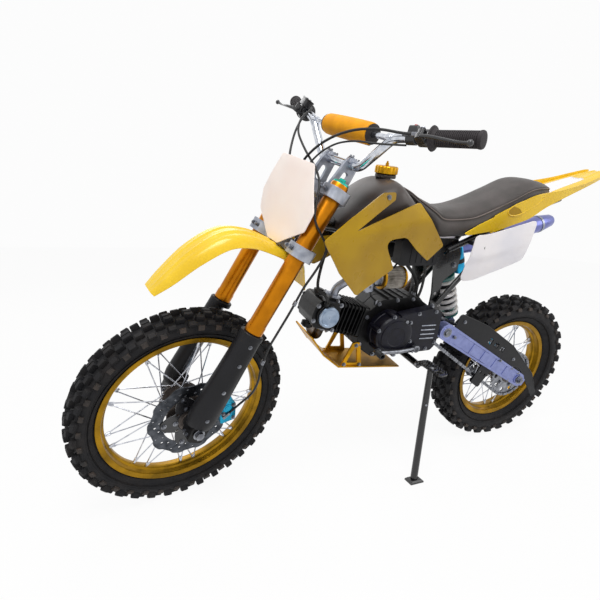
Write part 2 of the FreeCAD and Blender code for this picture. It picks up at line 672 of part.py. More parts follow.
perch, blade = make_lever("Clutch", 22)
keep("clutch_lever", fused("ClutchLever", perch, blade), steered_fork_frame)
perch, blade = make_lever("Brake", 30)
reservoir = box("BrakeReservoir", grip_frame * at(8, -sz.grip_length - 50, 8), "26", "40", "20")
brake_lever = mirrored("BrakeLever", fused("BrakeLeverLeft", perch, blade, reservoir))
keep("brake_lever", brake_lever, steered_fork_frame)

caliper_frame = at(sz.fork_offset, 0, 0, Y, -150) * at(sz.front_disc_radius - 14)


def make_caliper(name, disc_y, placement):
    """A block over the disc's edge with a slot for it; disc_y is the disc's inner face."""
    low, high = disc_y - 17, disc_y + 22
    outline = rounded_wire([(-20, -34, 8), (24, -30, 10), (24, 30, 10), (-20, 34, 8)], side_plane)
    block = extruded(name + "Block", [outline], Y, repr(high - low), at(y=low))
    slot = box(name + "Slot", at(-30, disc_y - 5, -60), "44", repr(sz.disc_thickness + 10), "120")
    body = cut(name, block, slot)
    body.Placement = placement
    return body


caliper = make_caliper("FrontCaliper", sz.front_disc_y, caliper_frame)
keep("front_caliper", caliper, steered_fork_frame)


# Main frame

backbone_points = [tuple(fork_frame.multVec(V(0, 0, 600))), (640, 0, 775), (sz.pivot_x + 38, 0, 742)]


def make_main_frame():
    head = cylinder("HeadTube", fork_frame * at(z=sz.lower_clamp_bottom + sz.lower_clamp_height + 6),
                    "Sizes.head_tube_radius",
                    "Sizes.upper_clamp_bottom - Sizes.lower_clamp_bottom - Sizes.lower_clamp_height - 12")
    backbone = pipe("Backbone", backbone_points, "Sizes.backbone_radius")
    rear = sz.pivot_x
    plate_outline = [(rear + 60, 770, 10), (rear - 10, 770, 20), (rear - 32, 716, 14),
                     (rear - 30, 674, 12), (rear + 16, 640, 20), (rear + 16, 560, 20),
                     (rear - 28, 520, 14), (rear - 28, 450, 16), (rear + 10, 430, 20),
                     (rear + 45, 450, 0), (rear + 45, 600, 20), (rear + 62, 700, 20)]
    plate = extruded("PivotPlate", [rounded_wire(plate_outline, side_plane)], Y,
                     "Sizes.frame_plate_wall", at(y=sz.frame_plate_y))
    cross_tubes = []
    for name, x, z, radius, half in (
            ("TopCross", rear + 38, 742, "16", sz.frame_plate_y + 1),
            ("ShockBolt", sz.shock_top_x, sz.shock_top_z, "Sizes.shock_bolt_radius", sz.frame_plate_y + 1),
            ("PivotBoss", sz.pivot_x, sz.pivot_z, "Sizes.pivot_boss_radius", sz.arm_y - 2)):
        cross_tubes.append(cylinder(name, along_y(x, -half, z), radius, repr(2 * half)))
    solid = fused("FrameSolid", head, backbone, plate, mirrored("PivotPlateTwin", plate), *cross_tubes)
    bores = [cylinder("HeadBore", fork_frame * at(z=sz.lower_clamp_bottom),
                      "Sizes.stem_radius + Sizes.seat_gap", "200"),
             cylinder("PivotBore", along_y(sz.pivot_x, -120, sz.pivot_z),
                      "Sizes.pivot_bolt_radius + Sizes.seat_gap", "240")]
    keep("main_frame", cut("MainFrame", solid, *bores))


make_main_frame()

rail_y = sz.frame_plate_y + sz.frame_plate_wall + sz.seat_gap + sz.rail_radius
rail_points = [(sz.pivot_x + 33, rail_y, 738), (330, rail_y, 774.6), (155, rail_y, 855.5),
               (20, rail_y, 903.3)]
rail = pipe("Rail", rail_points, "Sizes.rail_radius")
strut = pipe("Strut", [(sz.pivot_x + 28, rail_y, 572), (300, rail_y, 706), (212, rail_y, 829)],
             "Sizes.rail_radius - 1")
rail_cross = [cylinder(f"RailCross{i}", along_y(x, -rail_y, z), "7", repr(2 * rail_y))
              for i, (x, z) in enumerate(((32, 899), (212, 829)))]
keep("subframe", fused("Subframe", rail, mirrored("RailTwin", rail), strut,
                       mirrored("StrutTwin", strut), *rail_cross))


# Engine

def make_engine():
    half = sz.case_half_width
    left = sz.pivot_x + 45 + sz.seat_gap
    case_outline = [(left, 452, 10), (480, sz.case_bottom, 20), (606, sz.case_bottom, 25), (664, 445, 20),
                    (644, 545, 12), (600, 585, 20), (480, 592, 20), (left, 560, 20)]
    case = extruded("Crankcase", [rounded_wire(case_outline, side_plane)], Y,
                    "2 * Sizes.case_half_width", at(y=-half))
    deck = box("Deck", engine_frame * at(30, -half + 2, -half + 2), "Sizes.deck_reach - 30",
               repr(2 * half - 4), repr(2 * half - 4))
    clutch_cover = cylinder("ClutchCover", along_y(530, -half - 42, 500), "68", "43")
    shaft = cylinder("DriveShaft", along_y(sz.drive_x, half - 2, sz.drive_z), "10",
                     repr(sz.chain_y - half + 8))
    pitch_radius = sz.chain_pitch / 2 / math.sin(math.pi / sz.drive_teeth)
    teeth = extruded("DriveSprocket",
                     [toothed_wire(sz.drive_teeth, pitch_radius - 4, pitch_radius + 3, 0.3, 0, 0)], Y,
                     "Sizes.sprocket_wall",
                     at(sz.drive_x, sz.chain_y - sz.sprocket_wall / 2, sz.drive_z))
    keep("engine_case", fused("EngineCase", case, deck, clutch_cover, shaft, teeth))

    cover_low = half + sz.seat_gap
    drum = cylinder("GeneratorCover", along_y(sz.crank_x, cover_low, sz.crank_z), "Sizes.cover_radius",
                    "Sizes.cover_face_y - Sizes.case_half_width - Sizes.seat_gap")
    skirt_outline = [(415, 556, 8), (452, 574, 20), (560, 557, 0), (560, 434, 0), (432, 436, 16),
                     (415, 456, 10)]
    skirt_low = sz.chain_y + sz.sprocket_wall / 2 + sz.chain_gap + sz.chain_plate_wall + 6
    skirt = extruded("SprocketCover", [rounded_wire(skirt_outline, side_plane)], Y,
                     repr(sz.cover_face_y - 3 - skirt_low), at(y=skirt_low))
    ribs = [box(f"CoverRib{i}", at(428, sz.cover_face_y - 4, 486 + 13 * i), "62", "4", "5")
            for i in range(4)]
    dome = cylinder("CoverDome", along_y(sz.crank_x, sz.cover_face_y - 1, sz.crank_z),
                    "Sizes.cover_radius - 10", "5")
    keep("left_engine_cover", fused("LeftEngineCover", drum, skirt, dome, *ribs))


def make_cylinder():
    start = sz.deck_reach + sz.seat_gap
    barrel = cylinder("BarrelCore", engine_frame * at(start, 0, 0, Y, 90), "Sizes.fin_half_size - 10",
                      "Sizes.barrel_length")
    size = sz.fin_half_size
    step = sz.barrel_length / sz.fin_count
    fins = []
    for i in range(int(sz.fin_count)):
        outline = rounded_wire([(-size, -size, 14), (size, -size, 14), (size, size, 14), (-size, size, 14)],
                               cross_plane)
        fins.append(extruded(f"Fin{i}", [outline], X, "Sizes.fin_wall",
                             engine_frame * at(start + step * (i + 0.5) - sz.fin_wall / 2)))
    keep("cylinder_barrel", fused("CylinderBarrel", barrel, *fins))

    head_start = start + sz.barrel_length + sz.seat_gap
    half, height = sz.head_half_width, sz.head_half_height
    outline = rounded_wire([(0, -height, 0), (sz.head_length - 14, -height, 14),
                            (sz.head_length, -height + 30, 14), (sz.head_length, height - 30, 14),
                            (sz.head_length - 14, height, 14), (0, height, 0)], side_plane)
    block = extruded("HeadBlock", [outline], Y, "2 * Sizes.head_half_width",
                     engine_frame * at(head_start, -half))
    centre = head_start + 40
    cap = cylinder("CamCover", engine_frame * along_y(centre, half - 1, 0), "31", "17")
    intake_cap = cylinder("IntakeValveCap", engine_frame * at(centre + 22, 0, height - 1), "17", "14")
    exhaust_cap = cylinder("ExhaustValveCap", engine_frame * at(centre + 22, 0, -height - 13), "17", "14")
    keep("cylinder_head", fused("CylinderHead", block, cap, intake_cap, exhaust_cap))
    return head_start


make_engine()
head_start = make_cylinder()


def make_intake():
    port = engine_frame.multVec(V(head_start + 14, 0, sz.head_half_height + sz.seat_gap))
    up = engine_frame.Rotation.multVec(Z)
    bend = port + up * 26
    y, z = sz.intake_y, sz.intake_z
    stub = pipe("IntakePipe", [tuple(port), tuple(bend), (695, y - 8, z), (672, y, z)], "12")
    throat = cylinder("CarbThroat", at(676, y, z, Y, -90), "20", "64")
    bowl = cylinder("CarbBowl", at(648, y, z - 42), "19", "42")
    cap = cylinder("CarbCap", at(648, y, z), "17", "44")
    keep("carburettor", fused("Carburettor", stub, throat, bowl, cap))

    pleats = 18
    start = 612 - sz.seat_gap
    wire = toothed_wire(pleats, sz.filter_radius - 4, sz.filter_radius, 0.5, 0, 0)
    body = extruded("FilterPleats", [wire], Y, "Sizes.filter_length - 12",
                    at(start - 6, y, z, Z, 90))
    ends = [cylinder(f"FilterEnd{i}", at(start - place, y, z, Y, -90), "Sizes.filter_radius + 1", "7")
            for i, place in enumerate((0, sz.filter_length - 7))]
    keep("air_filter", fused("AirFilter", body, *ends))


make_intake()


def make_exhaust():
    port = engine_frame.multVec(V(head_start + 18, 0, -sz.head_half_height - sz.seat_gap))
    down = engine_frame.Rotation.multVec(Z) * -1
    first = port + down * 35
    y = -sz.silencer_y - 18
    header_end = V(262, -sz.silencer_y, 688)
    tip = V(-200, -sz.silencer_y - 10, 806)
    run_in = header_end - (tip - header_end).normalize() * 60
    header = pipe("Header", [tuple(port), tuple(first), (764, -72, 461), (700, y, 440), (560, y, 440),
                             (455, y, 470), (372, y, 560), tuple(run_in), tuple(header_end)],
                  "Sizes.exhaust_radius")
    keep("exhaust_header", header)
    frame = FreeCAD.Placement(header_end, FreeCAD.Rotation(Y, tip - header_end))
    run = (tip - header_end).Length
    can = "Sizes.silencer_radius"
    body = turned("Silencer", [("0", "0.3"), ("Sizes.exhaust_radius + 2", "0.3"),
                               ("Sizes.exhaust_radius + 2", "30"), (can, "110"),
                               (can, repr(run - 60)), (f"{can} - 8", repr(run - 8)),
                               (f"{can} - 12", repr(run)), (f"{can} - 16", repr(run)),
                               (f"{can} - 16", repr(run - 30)), ("0", repr(run - 30))], frame)
    keep("silencer", body)


make_exhaust()


# Rear suspension and final drive

def belt_wire(first, first_radius, second, second_radius, y):
    """The outline of a belt round two circles, as lines and arcs."""
    span = second - first
    length = span.Length
    along = V(span).normalize()
    across = V(-along.z, 0, along.x)
    lean = (first_radius - second_radius) / length
    rise = math.sqrt(1 - lean**2)
    ends = {}
    for side in (1, -1):
        normal = along * lean + across * (rise * side)
        ends[side] = (first + normal * first_radius, second + normal * second_radius)
    shift = V(0, y, 0)
    top, low = ends[1], ends[-1]
    edges = [Part.LineSegment(top[0] + shift, top[1] + shift).toShape(),
             Part.Arc(top[1] + shift, second + along * second_radius + shift, low[1] + shift).toShape(),
             Part.LineSegment(low[1] + shift, low[0] + shift).toShape(),
             Part.Arc(low[0] + shift, first - along * first_radius + shift, top[0] + shift).toShape()]
    return Part.Wire(edges)


def make_swingarm():
    pivot = V(arm_length, 0, 0)
    outline = belt_wire(ORIGIN, sz.arm_rear_radius, pivot, sz.arm_front_radius, 0)
    arm = extruded("Arm", [outline], Y, "Sizes.arm_width", at(y=sz.arm_y))
    bridge = box("ArmBridge", at(arm_length - 112, -sz.arm_y - 1, -20), "44", "2 * Sizes.arm_y + 2", "40")
    bolt_half = sz.arm_y + sz.arm_width + 6
    bolt = cylinder("PivotBolt", along_y(arm_length, -bolt_half, 0), "Sizes.pivot_bolt_radius",
                    repr(2 * bolt_half))
    head = cylinder("PivotBoltHead", along_y(arm_length, sz.arm_y + sz.arm_width - 1, 0), "13", "6")
    eye_x, eye_z = arm_length - sz.shock_eye_back, sz.shock_eye_up
    ear_outline = rounded_wire([(eye_x - 22, 15, 0), (eye_x + 20, 15, 0), (eye_x + 12, eye_z + 10, 9),
                                (eye_x - 12, eye_z + 10, 9)], side_plane)
    ear = extruded("ShockEar", [ear_outline], Y, "5", at(y=14))
    shock_bolt = cylinder("ShockFootBolt", along_y(eye_x, -16, eye_z), "Sizes.shock_bolt_radius", "32")
    solid = fused("ArmSolid", arm, mirrored("ArmTwin", arm), bridge, bolt, head,
                  mirrored("PivotBoltHeadTwin", head), ear, mirrored("ShockEarTwin", ear), shock_bolt)
    bore = cylinder("ArmAxleBore", along_y(0, -150, 0), "Sizes.axle_radius + Sizes.seat_gap", "300")
    keep("swingarm", cut("Swingarm", solid, bore), arm_frame)

    half = sz.arm_y + sz.arm_width + sz.seat_gap + sz.axle_nut_height + sz.axle_thread_end
    bar = cylinder("RearAxleBar", along_y(0, -half, 0), "Sizes.axle_radius", repr(2 * half))
    nut = cylinder("RearAxleNut", along_y(0, sz.arm_y + sz.arm_width + sz.seat_gap, 0),
                   "Sizes.axle_radius + 5", "Sizes.axle_nut_height")
    hub_end = sz.hub_half_length + 9
    spacer = cylinder("RearSpacer", along_y(0, hub_end, 0), "Sizes.axle_radius + 5",
                      repr(sz.arm_y - hub_end - sz.seat_gap))
    keep("rear_axle", fused("RearAxle", bar, nut, mirrored("RearAxleNutTwin", nut), spacer,
                            mirrored("RearSpacerTwin", spacer)), arm_frame)


def make_chain():
    drive = arm_frame.inverse().multVec(V(sz.drive_x, 0, sz.drive_z))
    wheel_radius = sz.chain_pitch / 2 / math.sin(math.pi / sz.wheel_teeth)
    drive_radius = sz.chain_pitch / 2 / math.sin(math.pi / sz.drive_teeth)
    half = sz.chain_half_height
    inner_y = sz.sprocket_wall / 2 + sz.chain_gap
    outer = belt_wire(ORIGIN, wheel_radius + half, drive, drive_radius + half, 0)
    inner = belt_wire(ORIGIN, wheel_radius - half, drive, drive_radius - half, 0)
    plates = [extruded(f"ChainPlate{i}", [outer.copy(), inner.copy()], Y, "Sizes.chain_plate_wall",
                       at(y=sz.chain_y + low))
              for i, low in enumerate((inner_y, -inner_y - sz.chain_plate_wall))]
    middle = belt_wire(ORIGIN, wheel_radius, drive, drive_radius, sz.chain_y - inner_y - 1)
    rollers = []
    roller_step = 5 * sz.chain_pitch
    for edge in (middle.Edges[0], middle.Edges[2]):
        count = int(edge.Length // roller_step) - 1
        start, stop = edge.Vertexes[0].Point, edge.Vertexes[1].Point
        along = (stop - start).normalize()
        for i in range(count):
            place = start + along * ((edge.Length - (count - 1) * roller_step) / 2
                                     + roller_step * i)
            square = [place + V(4 * math.cos(a), 0, 4 * math.sin(a))
                      for a in (math.pi * k / 2 for k in range(4))]
            rollers.append(Part.Face(Part.makePolygon(square + square[:1])).extrude(
                V(0, 2 * inner_y + 2, 0)))
    bar = shaped("ChainRollers", Part.makeCompound(rollers))
    keep("drive_chain", fused("DriveChain", *plates, bar), arm_frame)


def make_chain_guards():
    top = sz.arm_front_radius + sz.seat_gap
    outline = [(arm_length - 30, top, 0), (arm_length - 18, top + 44, 14), (arm_length - 150, top + 62, 30),
               (120, top + 58, 30), (-60, top + 18, 30), (-150, -8, 8), (-138, -24, 6), (-60, 8, 20),
               (20, top + 8, 10), (60, top, 0)]
    wires = [rounded_wire(outline, side_plane)]
    for place in (150, 186, 222):
        wires.append(rounded_wire([(place, top + 18, 3), (place + 18, top + 18, 3),
                                   (place + 18, top + 36, 3), (place, top + 36, 3)], side_plane))
    guard = extruded("ChainGuard", wires, Y, "3", at(y=sz.arm_y + 14))
    guide_outline = [(118, -sz.arm_front_radius + 4, 0), (178, -sz.arm_front_radius + 2, 0),
                     (172, -96, 12), (126, -100, 12)]
    cheek = extruded("ChainGuide", [rounded_wire(guide_outline, side_plane)], Y, "4",
                     at(y=sz.arm_y - 4 - sz.seat_gap))
    keep("chain_guards", fused("ChainGuards", guard, cheek), arm_frame)


make_swingarm()
make_chain()
make_chain_guards()


def make_shock():
    eye = "Sizes.shock_eye_radius"
    top = shock_length
    width = "26"
    low_eye = cylinder("ShockLowEye", along_y(0, -13, 0), eye, width)
    top_eye = cylinder("ShockTopEye", along_y(0, -13, top), eye, width)
    rod = cylinder("ShockRod", at(z=8), "8", "60")
    foot = cylinder("SpringFoot", at(z=24), "Sizes.spring_radius - 2", "7")
    body_start, body_end = 60, top - sz.shock_bolt_radius - 4
    body = cylinder("ShockBody", at(z=body_start), "Sizes.shock_body_radius", repr(body_end - body_start))
    collar = cylinder("SpringCollar", at(z=158), "Sizes.spring_radius - 1", "14")
    back = sz.reservoir_back
    canister = cylinder("Reservoir", at(-back, 0, top - 66), "Sizes.reservoir_radius",
                        "Sizes.reservoir_length")
    bridge = box("ReservoirBridge", at(-back, -8, top - 50), repr(back - 12), "16", "20")
    solid = fused("ShockSolid", low_eye, top_eye, rod, foot, body, collar, canister, bridge)
    bores = [cylinder(f"ShockEyeBore{i}", along_y(0, -20, z), "Sizes.shock_bolt_radius + Sizes.seat_gap",
                      "40") for i, z in enumerate((0, top))]
    keep("shock_absorber", cut("ShockAbsorber", solid, *bores), shock_frame)

    coils = 6
    low, high = 31 + sz.seat_gap, 158 - sz.seat_gap
    step = (high - low) / coils
    profile = [("Sizes.shock_body_radius + 1", repr(low)), ("Sizes.spring_radius - 4", repr(low))]
    for i in range(coils):
        profile.append(("Sizes.spring_radius", repr(low + step * (i + 0.5))))
        if i < coils - 1:
            profile.append(("Sizes.spring_radius - 7", repr(low + step * (i + 1))))
    profile += [("Sizes.spring_radius - 4", repr(high)), ("Sizes.shock_body_radius + 1", repr(high))]
    keep("shock_spring", turned("ShockSpring", profile, at(axis=X, angle=90)), shock_frame)


make_shock()

rear_caliper_frame = at(0, 0, 0, Y, -52) * at(sz.rear_disc_radius - 14)
rear_caliper = make_caliper("RearCaliperLeft", sz.rear_disc_y, rear_caliper_frame)
keep("rear_caliper", mirrored("RearCaliper", rear_caliper), arm_frame)


# Footrests, stand, foot controls and skid plate

def make_footrests():
    x, z = sz.peg_bar_x, sz.peg_bar_z
    half = sz.stand_y - 12
    bar = cylinder("PegBar", along_y(x, -half, z), "Sizes.peg_bar_radius", repr(2 * half))
    tab_height = sz.case_bottom - sz.seat_gap - z
    tabs = [box(f"PegTab{i}", at(x + 6, y, z), "30", "10", repr(tab_height)) for i, y in enumerate((-35, 25))]
    neck = pipe("PegNeck", [(x, half - 12, z), (x + 2, half + 26, z + 20)], "7")
    length, width = sz.peg_length, sz.peg_width
    base = [V(0, 0, 0), V(width, 0, 0), V(width, length - 8, 0), V(width - 8, length, 0), V(8, length, 0),
            V(0, length - 8, 0)]
    deck = Part.Face(Part.makePolygon(base + base[:1])).extrude(V(0, 0, 5))
    hollow = Part.makeBox(width - 12, length - 18, 9, V(6, 10, -2))
    deck = deck.cut(hollow)
    teeth = []
    for i in range(7):
        for x_tooth in (0, width - 4):
            y_tooth = 2 + i * (length - 14) / 6.6
            teeth.append(Part.makeBox(4, 5, 4, V(x_tooth, y_tooth, 4.5)))
    deck = deck.fuse(teeth)
    peg = shaped("PegDeck", deck, at(x - 14, half + 14, z + 18, Z, 8))
    lug_frame = stand_frame * at(z=-13)
    lug = cylinder("StandLug", lug_frame, "Sizes.stand_head_radius", "12.5")
    link = pipe("StandLink", [(x, half - 14, z), tuple(stand_frame.multVec(V(0, 0, -9)))], "6")
    solid = fused("Footrests", bar, *tabs, neck, mirrored("PegNeckTwin", neck), peg,
                  mirrored("PegDeckTwin", peg), lug, link)
    bore = cylinder("StandLugBore", stand_frame * at(z=-30), "Sizes.stand_pin_radius + Sizes.seat_gap", "40")
    keep("footrests", cut("FootrestsBored", solid, bore))


# The stand turns about its own skewed axis, so that it tucks in as it folds back
foot_world = parked.multVec(V(sz.stand_foot_x, sz.stand_foot_y, 0))
rise = -foot_world.z / math.cos(math.radians(sz.lean_angle))
foot = V(sz.stand_foot_x, sz.stand_foot_y, rise)
stand_down = (foot - stand_head).normalize()
stand_folded = V(-0.985, 0.1, 0.13).normalize()
stand_axis = stand_down.cross(stand_folded).normalize()
stand_fold_angle = math.degrees(stand_down.getAngle(stand_folded))
stand_frame = FreeCAD.Placement(stand_head, FreeCAD.Rotation(Z, stand_axis))


def make_side_stand():
    head = cylinder("StandHead", stand_frame * at(z=0), "Sizes.stand_head_radius", "13")
    pin = cylinder("StandPin", stand_frame * at(z=-16), "Sizes.stand_pin_radius", "20")
    start = stand_frame.multVec(V(0, 0, sz.stand_radius + 1))
    ground = parked.inverse()
    base = parked.multVec(foot)
    base.z = 0
    ankle = ground.multVec(base + V(0, 0, 10))
    leg_bar = pipe("StandLeg", [tuple(start), tuple(start + (ankle - start) * 0.5 + V(2, 2, 0)),
                                tuple(ankle)], "Sizes.stand_radius")
    pad = box("StandFoot", ground * at(base.x - 24, base.y - 15), "48", "34", "10")
    keep("side_stand", fused("SideStand", head, pin, leg_bar, pad))


make_footrests()
make_side_stand()


def make_foot_controls():
    y = sz.cover_face_y + sz.seat_gap
    shaft = cylinder("GearShaft", along_y(498, y - 3, 454), "6", "18")
    arm = pipe("GearArm", [(498, y + 9, 454), (560, y + 14, 452), (634, y + 20, 459)], "6")
    toe = cylinder("GearToe", along_y(636, y + 6, 459), "9", "38")
    keep("gear_lever", fused("GearLever", shaft, arm, toe))

    right = -sz.case_half_width - 42 - sz.seat_gap
    kick_shaft = cylinder("KickShaft", along_y(500, right - 56, 520), "9", "56")
    kick_arm = pipe("KickArm", [(500, right - 50, 520), (482, right - 60, 600), (420, right - 62, 700)], "8")
    kick_rubber = cylinder("KickRubber", along_y(420, right - 104, 700), "11", "54")
    keep("kick_lever", fused("KickLever", kick_shaft, kick_arm, kick_rubber))

    y = -sz.stand_y - 6
    pedal = pipe("PedalArm", [(500, y, 404), (540, y - 6, 398), (600, y - 14, 396), (655, y - 16, 408)], "6")
    boss = cylinder("PedalBoss", along_y(500, y - 8, 404), "12", "16")
    link = cylinder("PedalLink", along_y(500, y + 4, 404), "7", repr(12 - y - sz.stand_y))
    pad = box("PedalPad", at(640, y - 30, 410), "34", "32", "8")
    keep("brake_pedal", fused("BrakePedal", pedal, boss, pad, link))


make_foot_controls()


# x, z of the bent plate's lower face
SKID_FACE = ((500, 362), (716, 384), (770, 428), (812, 484))


def make_skid_plate():
    wall = sz.skid_wall
    half = sz.skid_half_width
    low = list(SKID_FACE)
    high = [(x - 0.45 * wall, z + wall) for x, z in low]
    high[-1] = (low[-1][0] - wall, low[-1][1] + 1)
    points = [V(x, 0, z) for x, z in low + high[::-1]]
    sheet_metal = extruded("SkidSheet", [Part.makePolygon(points + points[:1])], Y,
                           "2 * Sizes.skid_half_width", at(y=-half))
    y = sz.case_half_width + sz.seat_gap
    outline = [(636, 378, 0), (706, 385, 0), (676, 458, 6), (652, 458, 6)]
    window = [(654, 392, 3), (688, 395, 3), (669, 436, 3), (662, 436, 3)]
    bracket = extruded("SkidBracket", [rounded_wire(outline, side_plane), rounded_wire(window, side_plane)],
                       Y, "5", at(y=y))
    keep("skid_plate", fused("SkidPlate", sheet_metal, bracket, mirrored("SkidBracketTwin", bracket)))


make_skid_plate()


# Bodywork

def box_wire(x, half_width, low, high, radius):
    return rounded_wire([(-half_width, low, radius), (half_width, low, radius),
                         (half_width, high, radius), (-half_width, high, radius)],
                        lambda a, b: V(x, a, b))


# x, half width, bottom, top, corner radius; the cap stands on the highest section
cap_base = 921
tank_half_width = 106
tank_sections = ((766, 46, 783, 806, 10), (742, 70, 779, 838, 24), (700, 94, 776, 888, 34),
                 (664, 103, 775, 913, 36), (sz.tank_cap_x, tank_half_width, 775, cap_base, 36),
                 (592, 98, 775, 890, 34), (540, 78, 776, 850, 26), (488, 56, 780, 800, 8))
tank_solid = loft("TankSolid", [box_wire(*row) for row in tank_sections])
tunnel_start, tunnel_end = V(*backbone_points[0]), V(*backbone_points[1])
tunnel_start += (tunnel_start - tunnel_end).normalize() * 30
tunnel = pipe("TankTunnel", [tuple(tunnel_start), backbone_points[1], backbone_points[2]],
              "Sizes.backbone_radius + Sizes.seat_gap")
keep("fuel_tank", cut("FuelTank", tank_solid, tunnel))

cap = turned("TankCap", [("0", "0"), ("Sizes.tank_cap_radius - 8", "0"), ("Sizes.tank_cap_radius - 8", "12"),
                         ("Sizes.tank_cap_radius", "14"),
                         ("Sizes.tank_cap_radius", "Sizes.tank_cap_height - 6"),
                         ("Sizes.tank_cap_radius - 6", "Sizes.tank_cap_height"),
                         ("0", "Sizes.tank_cap_height")],
             at(sz.tank_cap_x, 0, cap_base + sz.seat_gap, X, 90))
keep("tank_cap", cap)

# x, half width, bottom, top, corner radius
seat_sections = ((592, 40, 897, 909, 5), (540, 58, 858, 884, 12), (484, 66, 808, 862, 20),
                 (454, 70, 772, 856, 24), (350, 78, 777, 868, 28), (290, 79, 807, 890, 28),
                 (155, 75, 869, 950, 26), (45, 50, 915, 938, 10))
keep("seat", loft("Seat", [box_wire(*row) for row in seat_sections]))

# x, half width, crown, side edge, top of the flank that stands outside the seat
wall = sz.fender_wall
tail_sections = ((290, 84, 806.4, 798, 846), (155, 88, 868.4, 846, 910), (45, 84, 914.4, 893, 932),
                 (-80, 70, 955, 940, 959), (-199, 45, 994, 985, 997))


def tail_wire(x, half_width, crown, edge, flank):
    inside = half_width - wall
    half = [(half_width, edge), (half_width, flank), (inside, flank), (inside, crown)]
    under = [(inside, crown - wall), (inside, edge)]
    points = [V(x, -a, b) for a, b in half] + [V(x, a, b) for a, b in reversed(half)]
    points += [V(x, a, b) for a, b in reversed(under)] + [V(x, -a, b) for a, b in under]
    return Part.makePolygon(points + points[:1])


tail = loft("RearFenderTail", [tail_wire(*row) for row in tail_sections])
flank_outline = [(404, 786, 4), (336, 822, 0), (280, 850, 0), (280, 802, 0), (376, 782, 4)]
flank = extruded("FenderFlank", [rounded_wire(flank_outline, side_plane)], Y, "Sizes.fender_wall",
                 at(y=81.2))
keep("rear_fender", fused("RearFender", tail, flank, mirrored("FenderFlankTwin", flank)))

# the shroud's plane passes through these two places, and its stud stands on the tank's side
shroud_front = V(875, 170, 0)
shroud_rear = V(611, 122, 0)
stud_x, stud_z = 640, 846
shroud_turn = math.degrees(math.atan2(shroud_front.y - shroud_rear.y, shroud_front.x - shroud_rear.x))
# along the shroud from its front end backwards is negative
shroud_outline = [(0, 789, 10), (-70, 838, 0), (-171, 897, 8), (-210, 899, 7), (-208, 881, 5),
                  (-86, 807, 2), (-163, 833, 0), (-293, 877, 12), (-420, 760, 8), (-389, 734, 5),
                  (-370, 718, 4), (-256, 780, 20), (-200, 781, 14), (-251, 704, 8),
                  (-133, 638, 12), (-59, 709, 10)]
shroud = extruded("Shroud", [rounded_wire(shroud_outline, side_plane)], Y, "Sizes.shroud_wall",
                  at(shroud_front.x, shroud_front.y, 0, Z, shroud_turn))
shroud_stud = cylinder("ShroudStud", along_y(stud_x, tank_half_width + sz.seat_gap, stud_z), "6", "22")
keep("tank_shrouds", pair("TankShrouds", fused("ShroudWithStud", shroud, shroud_stud)))

panel_outline = [(382, 787, 14), (173, 839, 12), (188, 728, 18), (388, 660, 20)]
panel = extruded("SidePanel", [rounded_wire(panel_outline, side_plane)], Y, "Sizes.panel_wall",
                 at(y=sz.panel_y))
# x, z, radius of the tube that the stud stands on
stud_rows = ((350, 765, sz.rail_radius), (236, 795, sz.rail_radius - 1))
studs = []
for i, (x, z, tube_radius) in enumerate(stud_rows):
    stud_start = rail_y + tube_radius + sz.seat_gap
    studs.append(cylinder(f"PanelStud{i}", along_y(x, stud_start, z), "Sizes.panel_stud_radius",
                          "Sizes.panel_y + 1 - " + repr(stud_start)))
keep("side_panels", pair("SidePanels", fused("PanelWithStuds", panel, *studs)))

inner_cover = box("InnerCover", at(sz.pivot_x + 62 + sz.seat_gap, 26, 692), "130", "36", "78")
keep("battery_covers", pair("BatteryCovers", inner_cover))


# Brake hose down the left fork leg, steered

hose_points = [(-28, 77.4, 44), (-44, 79, 84), (-44, 100, 130), (-22, 122, 176), (4, 130, 224),
               (16, 129, 275), (13, 126, 330), (12, 125, 390), (13, 122, 450), (14, 130, 500), (18, 134, 550)]
hose = pipe("BrakeHose", hose_points, "Sizes.hose_radius")
print("hose bends", [round(r) for r in bent_path([V(*point) for point in hose_points], None)[1]])
keep("brake_hose", hose, steered_fork_frame)


# Cables from the perches to the lower clamp, behind the number plate, steered

def make_cable(label, perch_width, below, side, points):
    """A cable from a perch's inner face; its later points are listed, in the fork's frame."""
    start_gap = 0.8
    offset = V(sz.bar_radius + 3.5, -sz.grip_length - 4 - perch_width - start_gap, -below)
    start = grip_frame.multVec(offset)
    start.y *= side
    end = (50, points[-1][1], sz.lower_clamp_bottom + sz.lower_clamp_height + sz.seat_gap)
    route = [tuple(start)] + list(points) + [end]
    keep(label, pipe(label + "Pipe", route, "Sizes.cable_radius"), steered_fork_frame)
    print(label, "bends", [round(r) for r in bent_path([V(*point) for point in route], None)[1]])


make_cable("clutch_cable", 22, 0, 1, (
    (62, 190, 848), (82, 145, 838), (98, 98, 820), (107, 52, 792), (109, 12, 756), (106, -16, 712),
    (92, -24, 668), (70, -22, 625), (50, -20, 580)))
make_cable("throttle_cable", 30, 5, -1, (
    (60, -186, 841), (84, -152, 812), (104, -114, 768), (110, -80, 720), (98, -60, 674),
    (72, -50, 626), (50, -44, 580)))


# Placing, checking and writing

def check_document():
    doc.recompute()
    for thing in doc.Objects:
        bad = [state for state in thing.State if state in ("Invalid", "Error")]
        if bad:
            raise RuntimeError(f"{thing.Name} is {bad}")
    for label, thing, frame in kept:
        if thing.Shape.isNull() or not thing.Shape.isValid() or not thing.Shape.Solids:
            raise RuntimeError(f"{label} has no valid shape")


check_document()
whole = FreeCAD.BoundBox()
for label, thing, frame in kept:
    thing.Placement = parked * frame * thing.Placement
    if label not in ("brake_hose", "clutch_cable", "throttle_cable"):
        whole.add(thing.Shape.optimalBoundingBox(False, False))
centre = at(-whole.Center.x, -whole.Center.y, -whole.ZMin)
for label, thing, frame in kept:
    thing.Placement = centre * thing.Placement
check_document()

